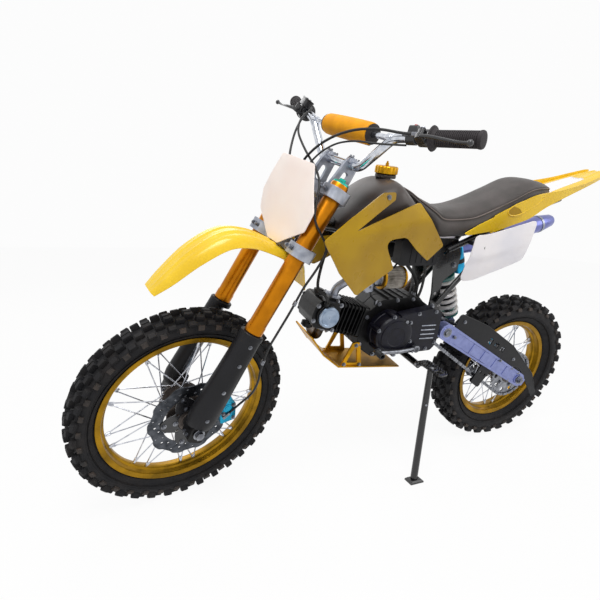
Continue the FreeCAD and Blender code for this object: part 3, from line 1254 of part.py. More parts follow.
os.makedirs("parts", exist_ok=True)
for label, thing, frame in kept:
    thing.Shape.exportStep(f"parts/{label}.step")
print(len(kept), "nodes, box", [round(v, 2) for v in (whole.XLength, whole.YLength, whole.ZMin, whole.ZMax)])
machine = centre * parked
skid_start, skid_end = (V(x, 0, z) for x, z in SKID_FACE[:2])
skid_slope = (skid_end - skid_start).normalize()
bar_middle = (bar_start + bar_bend) * 0.5
mount_places = (
    ("lift_pad", FreeCAD.Placement((skid_start + skid_end) * 0.5, FreeCAD.Rotation()),
     V(skid_slope.z, 0, -skid_slope.x)),
    ("left_tie_down", steered_fork_frame * at(bar_middle.x, bar_middle.y, bar_middle.z),
     (bar_bend - bar_start).normalize()),
    ("right_tie_down", steered_fork_frame * at(bar_middle.x, -bar_middle.y, bar_middle.z),
     V(bar_bend.x - bar_start.x, bar_start.y - bar_bend.y, bar_bend.z - bar_start.z).normalize()))
for name, frame, axis in mount_places:
    place = machine * frame
    turned_axis = place.Rotation.multVec(axis)
    print("mount", name, [round(v, 4) for v in place.Base], [round(v, 7) for v in turned_axis])
for name, frame, axis in (("steering", fork_frame, Z), ("front_wheel", front_wheel_frame, Y),
                          ("rear_wheel", rear_wheel_frame, Y), ("side_stand", stand_frame, Z)):
    place = machine * frame
    turned_axis = place.Rotation.multVec(axis)
    print("joint", name, [round(v, 3) for v in place.Base], [round(v, 6) for v in turned_axis])
print("stand folds by", round(stand_fold_angle, 2))
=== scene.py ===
import json
import bmesh
import bpy
from math import acos, atan2, copysign, cos, exp, pi, radians, sin, tan, tanh
from mathutils import Matrix, Vector
from mathutils.geometry import delaunay_2d_cdt, tessellate_polygon


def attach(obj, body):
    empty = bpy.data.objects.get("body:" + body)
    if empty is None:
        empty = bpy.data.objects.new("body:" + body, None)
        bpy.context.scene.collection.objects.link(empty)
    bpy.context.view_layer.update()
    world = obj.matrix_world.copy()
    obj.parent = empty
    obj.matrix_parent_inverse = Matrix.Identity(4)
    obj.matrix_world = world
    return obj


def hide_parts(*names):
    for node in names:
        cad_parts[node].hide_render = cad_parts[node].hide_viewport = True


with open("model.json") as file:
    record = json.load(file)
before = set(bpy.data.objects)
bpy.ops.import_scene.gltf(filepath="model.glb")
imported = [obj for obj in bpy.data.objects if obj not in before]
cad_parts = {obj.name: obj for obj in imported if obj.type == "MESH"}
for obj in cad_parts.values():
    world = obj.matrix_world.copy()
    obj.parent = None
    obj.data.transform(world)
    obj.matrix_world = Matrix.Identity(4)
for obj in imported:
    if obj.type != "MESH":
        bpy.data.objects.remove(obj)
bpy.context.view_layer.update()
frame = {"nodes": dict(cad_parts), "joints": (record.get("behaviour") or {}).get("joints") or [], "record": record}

print("frame loaded:", len(frame["nodes"]), "nodes")


# Frames: local millimetres to the row frame, worked out from the joints

joints = {joint["name"]: joint for joint in frame["joints"]}
rakeAngle = radians(27)     # the steering axis leans back this far
rearAxleHeight = 276             # mm, on the upright machine
pivotPlace = (382, 492)          # mm, x and z of the swingarm's pivot
crankPlace = (571, 494)
cylinderTilt = radians(15)
shockTop = (370, 690)
shockEye = (84, 40)              # mm, back from the pivot and up from the arm


def frameMatrix(origin, x, y, z):
    turn = Matrix((x, y, z)).transposed().to_4x4()
    return Matrix.Translation(origin) @ turn @ Matrix.Scale(0.001, 4)


def shifted(matrix, x=0, y=0, z=0):
    return matrix @ Matrix.Translation((x, y, z))


def tiltedUp(matrix, angle):     # x turned up towards z
    return matrix @ Matrix.Rotation(-angle, 4, "Y")


rearAxle = Vector(joints["rear_wheel_spin"]["pos_m"])
frontAxle = Vector(joints["front_wheel_spin"]["pos_m"])
steeringHead = Vector(joints["steering"]["pos_m"])
sideways = Vector(joints["rear_wheel_spin"]["axis"]).normalized()
steeringAxis = Vector(joints["steering"]["axis"]).normalized()
acrossSteering = sideways.cross(steeringAxis)
forward = acrossSteering * cos(rakeAngle) - steeringAxis * sin(rakeAngle)
upward = forward.cross(sideways)
machine = frameMatrix(rearAxle - upward * rearAxleHeight / 1000, forward, sideways, upward)
rearWheel = shifted(machine, z=rearAxleHeight)
steeredSideways = Vector(joints["front_wheel_spin"]["axis"]).normalized()
fork = frameMatrix(steeringHead, steeredSideways.cross(steeringAxis), steeredSideways, steeringAxis)
forkOffset = (frontAxle - steeringHead).length * 1000
frontWheel = tiltedUp(shifted(fork, x=forkOffset), -rakeAngle)
armSpan = Vector((pivotPlace[0], 0, pivotPlace[1] - rearAxleHeight))
arm = tiltedUp(rearWheel, atan2(armSpan.z, armSpan.x))
engine = tiltedUp(shifted(machine, crankPlace[0], 0, crankPlace[1]), cylinderTilt)
shockFoot = machine.inverted() @ (arm @ Vector((armSpan.length - shockEye[0], 0, shockEye[1])))
shockSpan = Vector((shockTop[0], 0, shockTop[1])) - shockFoot
shock = tiltedUp(shifted(machine, *shockFoot), atan2(shockSpan.z, shockSpan.x) - pi / 2)


# Nodes and materials

def linear(hexColour):           # sRGB hex to linear, with alpha
    channels = [int(hexColour[i:i + 2], 16) / 255 for i in (1, 3, 5)]
    return [c / 12.92 if c <= 0.04045 else ((c + 0.055) / 1.055) ** 2.4 for c in channels] + [1]


def addNode(tree, kind, sockets=None, **settings):
    node = tree.nodes.new(kind)
    for name, value in settings.items():
        setattr(node, name, value)
    for name, value in (sockets or {}).items():
        if isinstance(value, bpy.types.NodeSocket):
            tree.links.new(value, node.inputs[name])
        else:
            node.inputs[name].default_value = value
    return node


def startMaterial(name, metallic=0.0, roughness=0.5, **sockets):
    material = bpy.data.materials.new(name)
    material.use_nodes = True
    tree = material.node_tree
    shader = tree.nodes["Principled BSDF"]
    shader.inputs["Metallic"].default_value = metallic
    shader.inputs["Roughness"].default_value = roughness
    for socket, value in sockets.items():
        shader.inputs[socket.replace("_", " ")].default_value = value
    return material, tree, shader


def noiseAt(tree, grainMm, detail=3.0, vector=None):
    where = vector or addNode(tree, "ShaderNodeTexCoord").outputs["Object"]
    noise = addNode(tree, "ShaderNodeTexNoise", {"Vector": where, "Scale": 1000 / grainMm, "Detail": detail})
    return noise.outputs["Fac"]


def mottle(tree, shader, light, dark, share, low=0.35, high=0.65):
    ramp = addNode(tree, "ShaderNodeMapRange", {"Value": share, "From Min": low, "From Max": high})
    mix = addNode(tree, "ShaderNodeMix", {"Factor": ramp.outputs["Result"]}, data_type="RGBA")
    mix.inputs[6].default_value = linear(dark)
    mix.inputs[7].default_value = linear(light)
    tree.links.new(mix.outputs[2], shader.inputs["Base Color"])


def roughen(tree, shader, share, smooth, rough):
    spread = addNode(tree, "ShaderNodeMapRange", {"Value": share, "To Min": smooth, "To Max": rough})
    tree.links.new(spread.outputs["Result"], shader.inputs["Roughness"])


def bump(tree, shader, height, depthMm, strength=0.6):
    node = addNode(tree, "ShaderNodeBump", {"Height": height, "Distance": depthMm / 1000, "Strength": strength})
    tree.links.new(node.outputs["Normal"], shader.inputs["Normal"])


def mouldedPlastic(name, light, dark, smooth, rough, grainMm, depthMm, gloss=0.5):
    # moulded polypropylene: even colour with a faint cloud, and the grain of its mould
    material, tree, shader = startMaterial(name, IOR=1.49, Specular_IOR_Level=gloss)
    mottle(tree, shader, light, dark, noiseAt(tree, 90, 2))
    roughen(tree, shader, noiseAt(tree, 25, 4), smooth, rough)
    bump(tree, shader, noiseAt(tree, grainMm, 2), depthMm, 0.3)
    return material


def anodisedAluminium(name, light, dark, smooth, rough, stretch=(1, 1, 1)):
    # anodised aluminium: a tinted metal, its machining lines stretched along the piece
    material, tree, shader = startMaterial(name, metallic=0.85)
    where = addNode(tree, "ShaderNodeTexCoord").outputs["Object"]
    drawn = addNode(tree, "ShaderNodeMapping", {"Vector": where, "Scale": stretch})
    lines = noiseAt(tree, 3, 4, drawn.outputs["Vector"])
    mottle(tree, shader, light, dark, noiseAt(tree, 60, 3))
    roughen(tree, shader, lines, smooth, rough)
    bump(tree, shader, lines, 0.05, 0.2)
    return material


def platedSteel(name, light, dark, smooth, rough):
    # zinc or chrome plate on steel: bright, with faint cloudy dulling
    material, tree, shader = startMaterial(name, metallic=1.0)
    cloud = noiseAt(tree, 12, 4)
    mottle(tree, shader, light, dark, cloud)
    roughen(tree, shader, cloud, smooth, rough)
    return material


def castMetal(name, light, dark, smooth, rough, metallic, sandMm=1.6, gloss=0.5):
    # a sand casting, bare or painted: the sand's grain stays in its skin
    material, tree, shader = startMaterial(name, metallic=metallic, Specular_IOR_Level=gloss)
    mottle(tree, shader, light, dark, noiseAt(tree, 22, 5))
    roughen(tree, shader, noiseAt(tree, 8, 3), smooth, rough)
    bump(tree, shader, noiseAt(tree, sandMm, 3), 0.25, 0.5)
    return material


def enamelled(name, light, dark, smooth, rough):
    # stove enamel on steel: glossy, with a slight orange peel of 4 mm
    material, tree, shader = startMaterial(name, IOR=1.5, Coat_Weight=0.4, Coat_Roughness=0.1)
    mottle(tree, shader, light, dark, noiseAt(tree, 70, 2))
    roughen(tree, shader, noiseAt(tree, 15, 3), smooth, rough)
    bump(tree, shader, noiseAt(tree, 4, 1), 0.06, 0.3)
    return material


def tyreRubber():
    # carbon-black rubber, dusty brown where it has rolled
    material, tree, shader = startMaterial("tyreRubber", IOR=1.52, Specular_IOR_Level=0.3)
    mottle(tree, shader, "#1f1c1c", "#0d0d11", noiseAt(tree, 38, 5), 0.42, 0.72)
    roughen(tree, shader, noiseAt(tree, 14, 4), 0.55, 0.85)
    bump(tree, shader, noiseAt(tree, 2.2, 4), 0.4, 0.6)
    return material


def discSteel():
    # brushed stainless steel
    material, tree, shader = startMaterial("brushedStainless", metallic=1.0)
    mottle(tree, shader, "#5b5e64", "#383b40", noiseAt(tree, 18, 4))
    roughen(tree, shader, noiseAt(tree, 1.5, 3), 0.25, 0.45)
    return material


def seatVinyl():
    # embossed vinyl: pebbles of about 2 mm
    material, tree, shader = startMaterial("seatVinyl", IOR=1.52, Sheen_Weight=0.15)
    where = addNode(tree, "ShaderNodeTexCoord").outputs["Object"]
    pebbles = addNode(tree, "ShaderNodeTexVoronoi", {"Vector": where, "Scale": 500}, feature="F1")
    mottle(tree, shader, "#463f3d", "#332e2b", noiseAt(tree, 60, 3))
    roughen(tree, shader, noiseAt(tree, 20, 3), 0.48, 0.68)
    bump(tree, shader, pebbles.outputs["Distance"], 0.35, 0.5)
    return material


def wovenSleeve():
    # a woven sleeve: crossed threads drawn at 1.6 mm so that they show
    material, tree, shader = startMaterial("wovenSleeve", Specular_IOR_Level=0.3)
    where = addNode(tree, "ShaderNodeTexCoord").outputs["Object"]
    threads = [addNode(tree, "ShaderNodeTexWave", {"Vector": where, "Scale": 300.0},
                       wave_type="BANDS", bands_direction=way).outputs["Fac"] for way in "YZ"]
    weave = addNode(tree, "ShaderNodeMath", {0: threads[0], 1: threads[1]}, operation="MULTIPLY")
    mottle(tree, shader, "#f0a404", "#e29503", noiseAt(tree, 30, 3))
    shader.inputs["Roughness"].default_value = 0.6
    bump(tree, shader, weave.outputs["Value"], 0.15, 0.4)
    return material


materials = {
    "tyre": tyreRubber(),
    "gold_rim": anodisedAluminium("anodisedGoldRim", "#a97e12", "#77590a", 0.25, 0.42),
    "hub_grey": castMetal("castHub", "#6e655f", "#4a4340", 0.4, 0.6, 0.6),
    "disc_steel": discSteel(),
    "gold_tube": anodisedAluminium("anodisedAmberTube", "#cb7f08", "#aa6804", 0.24, 0.38, (1, 1, 0.2)),
    "black_plastic": mouldedPlastic("grainedBlackPolypropylene", "#141418", "#0c0c0f", 0.38, 0.55, 1.4, 0.2, 0.3),
    "cast_black": castMetal("blackPaintedCasting", "#0f0e10", "#060607", 0.26, 0.5, 0.1, gloss=0.3),
    "silver_alloy": castMetal("castAluminium", "#b4b8c2", "#8d929e", 0.3, 0.5, 0.85),
    "chrome_bar": platedSteel("chromePlatedSteel", "#dfe2e8", "#b9bec8", 0.08, 0.2),
    "steel": platedSteel("zincPlatedSteel", "#9a9ca2", "#6c6e74", 0.25, 0.45),
    "black_frame": enamelled("blackFrameEnamel", "#101013", "#08080a", 0.2, 0.35),
    "yellow_plastic": mouldedPlastic("yellowPolypropylene", "#f4cc2a", "#e9bf20", 0.2, 0.34, 6, 0.06),
    "white_plastic": mouldedPlastic("whitePolypropylene", "#fff4ee", "#fdeee7", 0.24, 0.38, 6, 0.06),
    "gold_metal": anodisedAluminium("anodisedGoldPlate", "#d29a12", "#9c6f08", 0.25, 0.42),
    "pad_gold": wovenSleeve(),
    "grip_rubber": mouldedPlastic("gripRubber", "#322e30", "#221f22", 0.6, 0.78, 2, 0.3, 0.3),
    "lever_black": enamelled("satinBlackLever", "#202024", "#121215", 0.3, 0.45),
    "caliper_blue": anodisedAluminium("anodisedBlue", "#28a8cf", "#16809f", 0.25, 0.42),
    "tank_grey": mouldedPlastic("darkGreyPolyethylene", "#4b4340", "#3b3431", 0.34, 0.48, 3, 0.1, 0.4),
    "seat_vinyl": seatVinyl(),
    "filter_mesh": castMetal("pleatedGauze", "#aba59c", "#5e5852", 0.45, 0.65, 0.3, 1.2),
    "exhaust_steel": platedSteel("heatDarkenedSteel", "#6a5f56", "#3c342e", 0.35, 0.55),
    "silencer_blue": anodisedAluminium("anodisedViolet", "#7d82bd", "#6a70ab", 0.25, 0.4),
    "shock_teal": enamelled("tealEnamel", "#188078", "#0f5c57", 0.2, 0.35),
    "spring_white": enamelled("whiteEnamel", "#eceaea", "#cfcccc", 0.25, 0.4),
    "hose_black": mouldedPlastic("blackHose", "#151516", "#0c0c0d", 0.4, 0.6, 2, 0.1),
}
for row in frame["record"]["subparts"]:
    node = frame["nodes"][row["node"]]
    node.data.materials.clear()
    node.data.materials.append(materials[row["material_slot"]])
dustyRubber = castMetal("dustyRubber", "#3d332d", "#171515", 0.6, 0.85, 0.0, 2.2)
brightSpoke = platedSteel("brightSpokeSteel", "#d6d8de", "#a4a7b0", 0.15, 0.3)
sealRubber = mouldedPlastic("sealRubber", "#141415", "#0b0b0c", 0.5, 0.7, 2, 0.1)
tealAnodised = anodisedAluminium("anodisedTeal", "#40d0b8", "#1fa394", 0.22, 0.35)
# the yellow plastic darkened to a mustard: painted shade for the side-facing tank shrouds and the fender's scoop
# recesses
shadeDarkenedYellow = mouldedPlastic("paintedShadeYellowPolypropylene", "#b48e04", "#a57f02", 0.22, 0.36, 6, 0.06, 0.3)
# white greyed towards lavender: painted shade for the side panels, which sit in shadow; the tail's white patch uses it
# too
paintedShadeWhite = mouldedPlastic("shadeGreyedWhitePolypropylene", "#f3eff1", "#e8e6ec", 0.24, 0.38, 6, 0.06)
# a lighter grey-brown for the welt on the seat's upper crease: a painted highlight where the crowned edge catches the
# light
seatPiping = mouldedPlastic("seatPiping", "#766b66", "#5e5550", 0.4, 0.6, 1.2, 0.2)
seatThread = mouldedPlastic("seatThread", "#2a2524", "#1d1919", 0.6, 0.8, 1.2, 0.2)
print("materials:", len(materials))


# Shapes: each is (points, faces) in the local millimetres of the frame that it is placed in

def joined(*shapes):
    points, faces = [], []
    for some, sides in shapes:
        start = len(points)
        points += some
        faces += [tuple(start + i for i in side) for side in sides]
    return points, faces


def moved(shape, matrix):
    return [tuple(matrix @ Vector(p)) for p in shape[0]], shape[1]


def mirroredY(shape):
    return [(x, -y, z) for x, y, z in shape[0]], [tuple(reversed(side)) for side in shape[1]]


def bothSides(shape):
    return joined(shape, mirroredY(shape))


def lathe(profile, sides=96, closed=True):      # (radius, place along local Y)
    rows = len(profile)
    points, faces = [], []
    for i in range(sides):
        angle = 2 * pi * i / sides
        points += [(r * cos(angle), y, r * sin(angle)) for r, y in profile]
    for i in range(sides):
        here, there = i * rows, (i + 1) % sides * rows
        for k in range(rows if closed else rows - 1):
            after = (k + 1) % rows
            faces.append((here + k, here + after, there + after, there + k))
    return points, faces


def upright(profile, sides, closed=True):      # a lathe about local Z
    return moved(lathe(profile, sides, closed), Matrix.Rotation(pi / 2, 4, "X"))


def polar(radius, angle):
    return Vector((radius * cos(angle), radius * sin(angle)))


def ring(radius, y, count, first=0.0):      # places on a circle about local Y
    turns = [2 * pi * (k + first) / count for k in range(count)]
    return [(radius * cos(a), y, radius * sin(a)) for a in turns]


def loft(rows, capped=True):      # rows of points, each a closed section
    count = len(rows[0])
    points = [tuple(p) for row in rows for p in row]
    faces = []
    for i in range(len(rows) - 1):
        for k in range(count):
            after = (k + 1) % count
            faces.append((i * count + k, i * count + after, (i + 1) * count + after, (i + 1) * count + k))
    if capped:
        faces.append(tuple(reversed(range(count))))
        faces.append(tuple((len(rows) - 1) * count + k for k in range(count)))
    return points, faces


def skin(rows):      # rows of points, each an open line
    count = len(rows[0])
    points = [tuple(p) for row in rows for p in row]
    faces = [(i * count + k, i * count + k + 1, (i + 1) * count + k + 1, (i + 1) * count + k)
             for i in range(len(rows) - 1) for k in range(count - 1)]
    return points, faces


def smoothLine(corners, steps=8, closed=False):      # a Catmull-Rom line through the corners
    corners = [Vector(c) for c in corners]
    count = len(corners)
    line = []
    for i in range(count if closed else count - 1):
        if closed:
            before, start, stop, after = (corners[(i + k) % count] for k in (-1, 0, 1, 2))
        else:
            before, start, stop, after = (corners[min(max(i + k, 0), count - 1)] for k in (-1, 0, 1, 2))
        for step in range(steps):
            t = step / steps
            line.append(0.5 * (2 * start + (stop - before) * t + (2 * before - 5 * start + 4 * stop - after) * t ** 2
                               + (3 * start - before - 3 * stop + after) * t ** 3))
    return line if closed else line + [corners[-1]]


def tube(line, radius, sides=12, closed=False):      # radius may be a list, one for each point
    line = [Vector(p) for p in line]
    count = len(line)
    radii = radius if isinstance(radius, (list, tuple)) else [radius] * count
    across, rows = None, []
    for i, point in enumerate(line):
        ahead = line[(i + 1) % count] if closed else line[min(i + 1, count - 1)]
        behind = line[i - 1] if closed else line[max(i - 1, 0)]
        along = (ahead - behind).normalized()
        if across is None:
            across = along.orthogonal().normalized()
        across = (across - along * across.dot(along)).normalized()
        other = along.cross(across)
        rows.append([point + across * (radii[i] * cos(2 * pi * k / sides))
                     + other * (radii[i] * sin(2 * pi * k / sides)) for k in range(sides)])
    return loft(rows + rows[:1], False) if closed else loft(rows)


def bent(corners, radius, bend=30, sides=14, steps=6):      # straight runs with round bends
    corners = [Vector(c) for c in corners]
    line = [corners[0]]
    for before, corner, after in zip(corners, corners[1:], corners[2:]):
        back, ahead = before - corner, after - corner
        reach = min(bend, 0.45 * back.length, 0.45 * ahead.length)
        start, stop = corner + back.normalized() * reach, corner + ahead.normalized() * reach
        for step in range(steps + 1):
            t = step / steps
            line.append(start * (1 - t) ** 2 + corner * (2 * t * (1 - t)) + stop * t ** 2)
    return tube(line + [corners[-1]], radius, sides)


def rod(start, stop, radius, endRadius=None, sides=24):
    start, stop = Vector(start), Vector(stop)
    return tube([start, stop], [radius, radius if endRadius is None else endRadius], sides)


def rounded(corners, steps=5):      # (a, b, corner radius) to a closed outline
    outline = []
    for i, (a, b, radius) in enumerate(corners):
        corner = Vector((a, b))
        back = Vector(corners[i - 1][:2]) - corner
        ahead = Vector(corners[(i + 1) % len(corners)][:2]) - corner
        if not radius:
            outline.append(corner)
            continue
        half = back.angle(ahead) / 2
        reach = min(radius / tan(half), 0.48 * back.length, 0.48 * ahead.length)
        start, stop = corner + back.normalized() * reach, corner + ahead.normalized() * reach
        for step in range(steps + 1):
            t = step / steps
            outline.append(start * (1 - t) ** 2 + corner * (2 * t * (1 - t)) + stop * t ** 2)
    return outline


def circle(a, b, radius, sides=24):
    return [Vector((a + radius * cos(2 * pi * i / sides), b + radius * sin(2 * pi * i / sides))) for i in range(sides)]


planes = {"side": lambda a, b, n: (a, n, b), "front": lambda a, b, n: (n, a, b), "flat": lambda a, b, n: (a, b, n)}


def plate(outline, low, high, holes=(), plane="side"):      # an outline with holes, given a thickness
    place = planes[plane]
    loops = [list(outline)] + [list(hole) for hole in holes]
    flat = [p for loop in loops for p in loop]
    if holes:
        caps = tessellate_polygon([[Vector((a, b, 0)) for a, b in loop] for loop in loops])
    else:
        caps = [tuple(range(len(flat)))]
    points = [place(a, b, low) for a, b in flat] + [place(a, b, high) for a, b in flat]
    faces = [tuple(reversed(cap)) for cap in caps] + [tuple(i + len(flat) for i in cap) for cap in caps]
    start = 0
    for loop in loops:
        for i in range(len(loop)):
            here, there = start + i, start + (i + 1) % len(loop)
            faces.append((here, there, there + len(flat), here + len(flat)))
        start += len(loop)
    return points, faces


def filled(outline, grain):      # triangles over an outline, on a grid of points inside it
    border = []
    for start, stop in zip(outline, outline[1:] + outline[:1]):
        count = max(1, round((stop - start).length / grain))
        border += [start.lerp(stop, i / count) for i in range(count)]
    low = Vector((min(p.x for p in border), min(p.y for p in border)))
    high = Vector((max(p.x for p in border), max(p.y for p in border)))
    inner = []
    for i in range(int((high.x - low.x) / grain) + 1):
        for k in range(int((high.y - low.y) / grain / 0.87) + 1):
            spot = low + Vector(((i + 0.5 * (k % 2)) * grain, 0.87 * k * grain))
            if min((spot - p).length_squared for p in border) > (0.6 * grain) ** 2:
                inner.append(spot)
    points, _, faces, *_ = delaunay_2d_cdt(border + inner, [], [list(range(len(border)))], 1, 0.01)
    used = sorted({i for face in faces for i in face})
    order = {old: new for new, old in enumerate(used)}
    return [points[i] for i in used], [tuple(order[i] for i in face) for face in faces]


def block(low, high):
    return plate([(low[0], low[2]), (high[0], low[2]), (high[0], high[2]), (low[0], high[2])], low[1], high[1])


def hexBolt(start, towards, radius=5, height=5):      # a washer, a hexagon and its washer face
    start, along = Vector(start), Vector(towards).normalized()
    return joined(rod(start, start + along * height * 0.25, radius * 1.45, sides=20),
                  rod(start + along * height * 0.25, start + along * height, radius, sides=6),
                  rod(start + along * height, start + along * height * 1.12, radius * 0.72, sides=16))


def hexBolts(places, towards, radius=5, height=5):
    return joined(*[hexBolt(place, towards, radius, height) for place in places])


# a finished piece: its mesh holds its place, and it rides on its body
def built(name, shape, slotName, matrix=machine, body="chassis", nodes=(), bevel=0, sharp=35, subdivide=0, solid=0,
          material=None):
    mesh = bpy.data.meshes.new(name)
    mesh.from_pydata([matrix @ Vector(p) for p in shape[0]], [], shape[1])
    work = bmesh.new()
    work.from_mesh(mesh)
    bmesh.ops.remove_doubles(work, verts=work.verts, dist=2e-6)
    bmesh.ops.dissolve_degenerate(work, edges=work.edges, dist=1e-6)
    if not solid:
        bmesh.ops.recalc_face_normals(work, faces=work.faces)
    work.to_mesh(mesh)
    work.free()
    mesh.shade_smooth()
    mesh.set_sharp_from_angle(angle=radians(sharp))
    mesh.materials.append(material or materials[slotName])
    thing = bpy.data.objects.new(name, mesh)
    bpy.context.scene.collection.objects.link(thing)
    if subdivide:
        smoother = thing.modifiers.new("subdivision", "SUBSURF")
        smoother.levels = smoother.render_levels = subdivide
    if solid:
        thickness = thing.modifiers.new("wall", "SOLIDIFY")
        thickness.thickness = solid / 1000
        thickness.offset = 0
    if bevel:
        edge = thing.modifiers.new("edges", "BEVEL")
        edge.width = bevel / 1000
        edge.segments = 2
        edge.limit_method = "ANGLE"
        edge.angle_limit = radians(40)
        edge.harden_normals = True
    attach(thing, body)
    if nodes:
        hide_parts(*nodes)
    return thing


def steered(name, shape, slotName, matrix=fork, **more):
    return built(name, shape, slotName, matrix, "steering", **more)


# copies an object onto the points it is given, turned by their "turn" attribute
def repeatTree(name):
    tree = bpy.data.node_groups.new(name, "GeometryNodeTree")
    face = tree.interface
    face.new_socket("Points", in_out="INPUT", socket_type="NodeSocketGeometry")
    face.new_socket("Piece", in_out="INPUT", socket_type="NodeSocketObject")
    face.new_socket("Size spread", in_out="INPUT", socket_type="NodeSocketFloat")
    face.new_socket("Seed", in_out="INPUT", socket_type="NodeSocketInt")
    face.new_socket("Material", in_out="INPUT", socket_type="NodeSocketMaterial")
    face.new_socket("Pieces", in_out="OUTPUT", socket_type="NodeSocketGeometry")
    given = addNode(tree, "NodeGroupInput")
    source = addNode(tree, "GeometryNodeObjectInfo", {"Object": given.outputs["Piece"]})
    turn = addNode(tree, "GeometryNodeInputNamedAttribute", {"Name": "turn"}, data_type="FLOAT_VECTOR")
    turned = addNode(tree, "FunctionNodeEulerToRotation", {"Euler": turn.outputs["Attribute"]})
    least = addNode(tree, "ShaderNodeMath", {0: 1.0, 1: given.outputs["Size spread"]}, operation="SUBTRACT")
    size = addNode(tree, "FunctionNodeRandomValue", data_type="FLOAT")
    tree.links.new(least.outputs["Value"], size.inputs[2])
    size.inputs[3].default_value = 1.0
    tree.links.new(given.outputs["Seed"], size.inputs["Seed"])
    copies = addNode(tree, "GeometryNodeInstanceOnPoints",
                     {"Points": given.outputs["Points"], "Instance": source.outputs["Geometry"],
                      "Rotation": turned.outputs["Rotation"], "Scale": size.outputs[1]})
    real = addNode(tree, "GeometryNodeRealizeInstances", {"Geometry": copies.outputs["Instances"]})
    coloured = addNode(tree, "GeometryNodeSetMaterial",
                       {"Geometry": real.outputs["Geometry"], "Material": given.outputs["Material"]})
    result = addNode(tree, "NodeGroupOutput")
    tree.links.new(coloured.outputs["Geometry"], result.inputs["Pieces"])
    return tree


repeater = repeatTree("repeatOnPoints")


# shape, in millimetres, at each of places, which are matrices of the row frame
def repeated(name, shape, places, body, slotName, nodes=(), spread=0.0, seed=7, sharp=35, material=None):
    template = bpy.data.meshes.new(name + "Template")
    template.from_pydata([Vector(p) / 1000 for p in shape[0]], [], shape[1])
    work = bmesh.new()
    work.from_mesh(template)
    bmesh.ops.remove_doubles(work, verts=work.verts, dist=2e-6)
    bmesh.ops.recalc_face_normals(work, faces=work.faces)
    work.to_mesh(template)
    work.free()
    pattern = bpy.data.objects.new(name + "Template", template)
    hostMesh = bpy.data.meshes.new(name + "Places")
    hostMesh.from_pydata([place.translation for place in places], [], [])
    turns = hostMesh.attributes.new("turn", "FLOAT_VECTOR", "POINT")
    turns.data.foreach_set("vector", [angle for place in places for angle in place.to_euler()])
    host = bpy.data.objects.new(name + "Places", hostMesh)
    bpy.context.scene.collection.objects.link(host)
    modifier = host.modifiers.new("repeat", "NODES")
    modifier.node_group = repeater
    values = {"Piece": pattern, "Size spread": spread, "Seed": seed, "Material": material or materials[slotName]}
    for item in repeater.interface.items_tree:
        if item.item_type == "SOCKET" and item.name in values:
            modifier[item.identifier] = values[item.name]
    host.update_tag()
    bpy.context.view_layer.update()
    mesh = bpy.data.meshes.new_from_object(host.evaluated_get(bpy.context.evaluated_depsgraph_get()))
    bpy.data.objects.remove(host)
    bpy.data.objects.remove(pattern)
    mesh.name = name
    mesh.shade_smooth()
    mesh.set_sharp_from_angle(angle=radians(sharp))
    thing = bpy.data.objects.new(name, mesh)
    bpy.context.scene.collection.objects.link(thing)
    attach(thing, body)
    if nodes:
        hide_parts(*nodes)
    return thing


def turnedAbout(matrix, angle, axis="Y"):
    return matrix @ Matrix.Rotation(angle, 4, axis)


print("shape kit ready")


# Wheels

# hubEnds: left and right end; disc: outer radius, place, way that it faces, waves
frontSizes = {"rim": 225, "rimHalf": 24, "height": 65, "half": 38, "pitches": 36, "knobHeight": 14,
              "hubEnds": (60, 50), "disc": (110, 52, 1, 10)}
rearSizes = {"rim": 193, "rimHalf": 29, "height": 83, "half": 49, "pitches": 30, "knobHeight": 15,
             "hubEnds": (68, 66), "disc": (95, 57, -1, 9)}
# place across as a share of the half width, lean outwards, phase, length along, width across, drop
knobRows = ((0.17, 4, 0.0, 0.46, 0.27, 0.0), (0.5, 17, 0.5, 0.44, 0.24, 2.5), (0.8, 40, 0.0, 0.42, 0.26, 8.5))


def knob(length, width, height):
    rows = []
    for share, lift in ((1.0, -5), (0.94, height * 0.82), (0.8, height)):
        a, b = length * share / 2, width * share / 2
        rows.append([(-a, -b, lift), (a, -b, lift), (a, b, lift), (-a, b, lift)])
    return loft(rows)


def onTread(wheel, radius, place, angle, lean):
    spot = turnedAbout(wheel, angle) @ Matrix.Translation((0, place, radius))
    return spot @ Matrix.Rotation(-radians(lean) * (1 if place > 0 else -1), 4, "X")


def buildTyre(end, wheel, body, size):
    rim, seat, height, half = size["rim"], size["rimHalf"], size["height"], size["half"]
    tread = rim + height - size["knobHeight"]
    side = [(rim - 8, seat - 5), (rim + 2, seat - 3.5), (rim + 4, seat + 1.5), (rim + 9, seat + 4),
            (rim + 0.3 * height, half * 0.95), (rim + 0.42 * height, half), (rim + 0.55 * height, half * 0.98),
            (tread - 9, half * 0.86), (tread - 3, half * 0.6), (tread, half * 0.25)]
    profile = side + [(tread, 0)] + [(r, -y) for r, y in reversed(side)]
    ridges = []
    for share in (0.24, 0.34):
        radius = rim + share * height
        for way in (1, -1):
            ridges.append(lathe([(radius - 1.2, way * half * 0.8), (radius, way * (half * 0.97 + share)),
                                 (radius + 1.2, way * half * 0.8)], 120))
    built(end + "TyreCarcass", joined(lathe(profile, 144), *ridges), "tyre", wheel, body,
          nodes=[end + "_tyre"], sharp=50)
    pitch = 2 * pi / size["pitches"]
    for row, (share, lean, phase, length, width, drop) in enumerate(knobRows):
        shape = knob(length * pitch * (rim + height), width * 2 * half * 0.62, size["knobHeight"] + 0.3 * row)
        places = [onTread(wheel, tread - drop, way * share * half, pitch * (i + phase), lean)
                  for i in range(size["pitches"]) for way in (1, -1)]
        repeated(f"{end}TyreKnobs{row}", shape, places, body, "tyre", spread=0.04, seed=11 + row)
    bar = knob(0.34 * pitch * (rim + height), 13, 6.5)
    places = [onTread(wheel, tread - 15.5, way * half * 0.925, pitch * (i + 0.5), 72)
              for i in range(size["pitches"]) for way in (1, -1)]
    repeated(end + "TyreSideLugs", bar, places, body, "tyre", spread=0.1, seed=19, material=dustyRubber)


